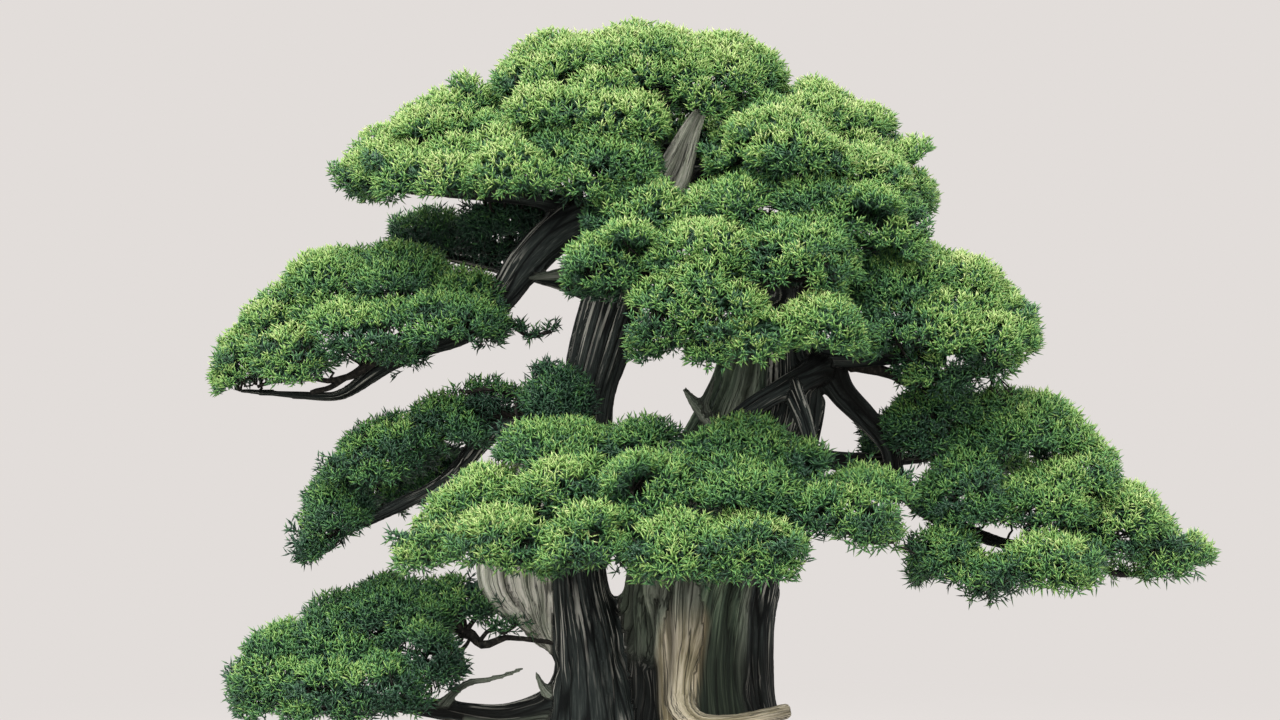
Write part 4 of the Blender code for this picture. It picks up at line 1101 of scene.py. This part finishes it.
def pot_profile():
    """Points (inset, z) from the base up the outside, over the lip and down the inside to the floor."""
    lip_low, lip_top = POT_HEIGHT - LIP_DEPTH, POT_HEIGHT - LIP_ROUND
    tuck = UNDER_LIP_ROUND
    points = arc((wall_inset(FOOT_HEIGHT) + BASE_ROUND, FOOT_HEIGHT + BASE_ROUND), BASE_ROUND, 270, 180, 6)
    points += [(wall_inset(z), z) for z in np.linspace(FOOT_HEIGHT + 0.01, lip_low - 0.004, 8)]
    points += arc((wall_inset(lip_low) - tuck, lip_low - tuck), tuck, 0, 90, 4)
    points += arc((tuck, lip_low + tuck), tuck, 270, 180, 5)
    points += arc((LIP_ROUND, lip_top), LIP_ROUND, 180, 90, 6)
    points += arc((LIP_REACH + POT_WALL - LIP_ROUND, lip_top), LIP_ROUND, 90, 0, 6)
    points += [(wall_inset(z) + POT_WALL, z) for z in np.linspace(POT_HEIGHT - 0.012, POT_FLOOR + 0.012, 5)]
    points += arc((wall_inset(POT_FLOOR) + POT_WALL + INNER_ROUND, POT_FLOOR + INNER_ROUND), INNER_ROUND,
                  180, 270, 5)
    return points


def foot(sign_x, sign_y):
    base_inset = wall_inset(FOOT_HEIGHT)
    half_x, half_y = FOOT_SIZE[0] / 2, FOOT_SIZE[1] / 2
    centre = (sign_x * (POT_HALF[0] - base_inset - FOOT_INSET - half_x),
              sign_y * (POT_HALF[1] - base_inset - FOOT_INSET - half_y))
    return loft([rounded_ring(half_x + spread, half_y + spread, LEAST_CORNER, z, centre, 6)
                 for spread, z in FOOT_PROFILE])


def make_pot(material):
    parts = [loft([pot_ring(inset, z) for inset, z in pot_profile()])]
    parts += [foot(sign_x, sign_y) for sign_x in (-1, 1) for sign_y in (-1, 1)]
    pot = mesh_object("stoneware_tray", *joined(parts))
    cutters = []
    for x in (-DRAIN_OFFSET, DRAIN_OFFSET):
        angles = np.linspace(0, math.tau, 32, endpoint=False)
        rings = [[(x + DRAIN_RADIUS * math.cos(a), DRAIN_RADIUS * math.sin(a), z) for a in angles]
                 for z in (0.0, POT_FLOOR + 0.01)]
        cutters.append(mesh_object("drain_cutter", *loft(rings)))
        pot.modifiers.new("drain", "BOOLEAN").object = cutters[-1]
    apply_modifiers(pot)
    for cutter in cutters:
        bpy.data.objects.remove(cutter)
    pot.data.shade_smooth()
    pot.data.set_sharp_from_angle(angle=math.radians(38))
    finish_piece(pot, material, "unglazed_stoneware", "pot")


# ---- what is in the pot
def soil_height(x, y):
    """Level of the soil's surface, mounded towards the trunks."""
    inset = wall_inset(SOIL_EDGE) + POT_WALL
    across = np.maximum(np.abs(x) / (POT_HALF[0] - inset), np.abs(y) / (POT_HALF[1] - inset))
    share = 1 - np.clip(across, 0, 1)
    return SOIL_EDGE + SOIL_MOUND * np.sin(math.pi / 2 * np.clip(share * 1.15, 0, 1))


def scattered(count, margin, rng):
    """Random places over the soil, at least the margin away from the wall; and that area's inset."""
    inset = wall_inset(SOIL_EDGE) + POT_WALL + margin
    x = rng.uniform(-1, 1, count) * (POT_HALF[0] - inset)
    y = rng.uniform(-1, 1, count) * (POT_HALF[1] - inset)
    return x, y, inset


def make_soil(material):
    low = POT_FLOOR + 0.02
    inset = wall_inset(SOIL_EDGE) + POT_WALL + SOIL_GAP
    rings = [pot_ring(wall_inset(POT_FLOOR) + POT_WALL + 0.012, POT_FLOOR + 0.003),
             pot_ring(wall_inset(low) + POT_WALL + SOIL_GAP, low), pot_ring(inset, SOIL_EDGE)]
    for share in np.linspace(0.03, 0.98, 48):
        ring = pot_ring(inset, SOIL_EDGE)
        ring[:, :2] *= 1 - share
        lump = layered(ring, 90, 3, 3) - 0.5
        ring[:, 2] = soil_height(ring[:, 0], ring[:, 1]) + lump * SOIL_LUMPS * min(1, share * 8)
        rings.append(ring)
    finish_piece(mesh_object("soil_bed", *loft(rings)), material, "potting_grit", "soil")


def make_grit(material):
    """Loose grains of baked clay over the soil."""
    rng = np.random.default_rng(SEED + 900)
    x, y, inset = scattered(GRAINS, 0.003, rng)
    corner = POT_CORNER - inset
    over = [np.maximum(np.abs(place) - (half - inset - corner), 0) for place, half in zip((x, y), POT_HALF)]
    inside = np.hypot(*over) < corner
    x, y = x[inside], y[inside]
    centre = np.column_stack([x, y, soil_height(x, y) + rng.uniform(-0.0005, 0.0012, len(x))])
    bm = bmesh.new()
    bmesh.ops.create_icosphere(bm, subdivisions=1, radius=1.0)
    form = np.array([vert.co for vert in bm.verts])
    pattern = np.array([[vert.index for vert in face.verts] for face in bm.faces])
    bm.free()
    size = rng.uniform(*GRAIN_RADIUS, (len(x), 1, 1)) * rng.uniform(0.7, 1.25, (len(x), len(form), 1))
    turn = rng.uniform(0, math.tau, len(x))[:, None]
    spun = np.stack([form[:, 0] * np.cos(turn) - form[:, 1] * np.sin(turn),
                     form[:, 0] * np.sin(turn) + form[:, 1] * np.cos(turn),
                     np.broadcast_to(form[:, 2] * 0.8, (len(x), len(form)))], axis=-1)
    verts = centre[:, None] + spun * size
    faces = (np.arange(len(x))[:, None, None] * len(form) + pattern).reshape(-1, 3)
    grit = mesh_object("loose_grit", verts.reshape(-1, 3), faces, smooth=False)
    tone = np.repeat(np.clip(rng.beta(2.2, 2.6, len(x)), 0.02, 0.98), len(form))
    set_attribute(grit, "tint", tone)
    wobble = np.tile(np.linspace(-0.003, 0.003, len(form)), len(x))
    set_colour_map(grit, tone + wobble, np.tile(np.linspace(0.2, 0.8, len(form)), len(x)))
    finish_piece(grit, material, "potting_grit")


def make_moss(material):
    """Low patches of moss on the soil, clear of the rim."""
    rng = np.random.default_rng(SEED + 950)
    x, y, _ = scattered(MOSS_SAMPLES, MOSS_MARGIN, rng)
    patch = layered(np.column_stack([x, y, np.zeros(len(x))]), 24, 17)
    grown = patch > MOSS_THRESHOLD
    x, y, patch = x[grown], y[grown], patch[grown]
    place = np.column_stack([x, y, soil_height(x, y)])
    lean = unit(rng.normal(0, 0.45, (len(x), 3)) + (0, 0, 1))
    length = rng.uniform(*MOSS_LENGTH, len(x)) * (0.7 + 4 * np.minimum(patch - MOSS_THRESHOLD, 0.15))
    tones = rng.uniform(0.0, 0.5, len(x))
    blades = place, lean, length, np.full(len(x), MOSS_RADIUS), tones
    shoots_object("moss", blades, material, "potting_grit")


def make_screens(material):
    """Moulded netting over each drain hole."""
    for side in ("left", "right"):
        node = f"drainage_mesh_{side}"
        low, high = [np.array(corner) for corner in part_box(node)]
        middle, half = (low + high) / 2, (high - low) / 2
        strips = []
        for offset in np.linspace(-1, 1, NETTING_STRANDS):
            for axis in (0, 1):
                centre = middle.copy()
                centre[axis] += offset * (half[axis] - NETTING_HALF_WIDTH)
                reach = half * (1, 1, 0.95 if axis else 0.75)
                reach[axis] = NETTING_HALF_WIDTH
                levels = centre[2] - reach[2], centre[2] + reach[2]
                strips.append(loft([rounded_ring(*reach[:2], NETTING_HALF_WIDTH / 2, z, centre[:2], 2)
                                    for z in levels]))
        finish_piece(mesh_object(f"netting_{side}", *joined(strips)), material, "plastic_netting", node)


def make_wire(material):
    low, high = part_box("anchor_wire")
    radius = (high[1] - low[1]) / 2
    half = [(high[0] - radius, z) for z in np.linspace(high[2], low[2] + radius + WIRE_BEND, 5)]
    for angle in np.linspace(0, math.pi / 2, 9)[1:]:
        half.append((high[0] - radius - WIRE_BEND * (1 - math.cos(angle)),
                     low[2] + radius + WIRE_BEND * (1 - math.sin(angle))))
    right = np.array([(x, 0.0, z, radius) for x, z in half])
    left = right[::-1] * (-1, 1, 1, 1)
    wire = mesh_object("tie_wire", *tube_arrays(np.vstack([right, left]), 16))
    finish_piece(wire, material, "anchor_wire", "anchor_wire")


# ---- stage, light and camera
BACKDROP = (226, 221, 218)
CAMERA_PLACE = (-0.055, -2.40, 0.487)
LENS = 79.4
FLOOR_REACH = 20
FLOOR_FADE = (0.7, 1.9)  # distances between which the floor passes into the backdrop
# Light by height in the sky: position, colour.
SKY = [(0.0, (0.50, 0.52, 0.54, 1)), (0.25, (0.90, 0.92, 0.94, 1)), (1.0, (1.25, 1.28, 1.30, 1))]


def make_stage():
    corners = np.array([(-1, -1, 0), (1, -1, 0), (1, 1, 0), (-1, 1, 0)], dtype=float)
    floor = mesh_object("floor", corners * FLOOR_REACH, np.array([(0, 1, 2, 3)]))
    shader = Shader("pale_floor", 0.9, 0.1)
    place = shader.object_place()
    shader.colour(shader.ramp(shader.noise(place, 2.0, 4.0), (0.3, (166, 162, 160)), (0.7, (171, 167, 165))))
    glow = shader.node("Emission", {"Color": BACKDROP})
    far = shader.node("VectorMath", {0: place}, operation="LENGTH").outputs["Value"]
    fade = shader.node("MixShader", {0: shader.mask(far, *FLOOR_FADE), 1: shader.surface.outputs[0],
                                     2: glow.outputs[0]})
    output = next(node for node in shader.tree.nodes if node.type == "OUTPUT_MATERIAL")
    shader.feed(output, {"Surface": fade.outputs[0]})
    floor.data.materials.append(shader.material)


def make_world():
    """Plain pale surroundings to the eye, and soft light that comes mostly from above."""
    world = bpy.data.worlds.new("studio")
    bpy.context.scene.world = world
    world.use_nodes = True
    tree = world.node_tree
    tree.nodes.clear()
    output, seen, lit, direction, split, ramp, rays, mix = [
        tree.nodes.new("ShaderNode" + kind) for kind in
        ("OutputWorld", "Background", "Background", "TexCoord", "SeparateXYZ", "ValToRGB", "LightPath",
         "MixShader")]
    seen.inputs["Color"].default_value = srgb(*BACKDROP)
    set_stops(ramp, SKY)
    for source, target in ((direction.outputs["Generated"], split.inputs[0]),
                           (split.outputs["Z"], ramp.inputs["Fac"]),
                           (ramp.outputs["Color"], lit.inputs["Color"]),
                           (rays.outputs["Is Camera Ray"], mix.inputs["Fac"]),
                           (lit.outputs[0], mix.inputs[1]), (seen.outputs[0], mix.inputs[2]),
                           (mix.outputs[0], output.inputs["Surface"])):
        tree.links.new(source, target)


def make_sun(name, energy, spread, tilt, roll):
    data = bpy.data.lights.new(name, "SUN")
    data.energy = energy
    data.angle = math.radians(spread)
    data.color = (1.0, 0.98, 0.94)
    sun = bpy.data.objects.new(name, data)
    sun.rotation_euler = (math.radians(tilt), math.radians(roll), 0)
    bpy.context.scene.collection.objects.link(sun)


def make_lights():
    """A broad light from above, a little to the front left, and a weaker one from the front."""
    make_sun("overhead", 3.0, 50, 24, -14)
    make_sun("front_fill", 1.7, 70, 74, -12)


def make_camera():
    data = bpy.data.cameras.new("camera")
    data.lens = LENS
    data.sensor_width = 36
    camera = bpy.data.objects.new("camera", data)
    camera.location = CAMERA_PLACE
    camera.rotation_euler = (math.radians(90), 0, 0)
    bpy.context.scene.collection.objects.link(camera)
    bpy.context.scene.camera = camera
    bpy.context.scene.view_settings.view_transform = "Standard"


def main():
    make_camera()
    make_wood(wood_material())
    needles = foliage_material()
    pads = [make_pad(node, index, needles) for index, node in enumerate(PADS)]
    make_sprigs(needles)
    make_twigs(pads, twig_material())
    make_pot(stoneware_material())
    make_soil(soil_material())
    make_grit(grit_material())
    make_moss(moss_material())
    make_screens(netting_material())
    make_wire(wire_material())
    make_stage()
    make_world()
    make_lights()


main()
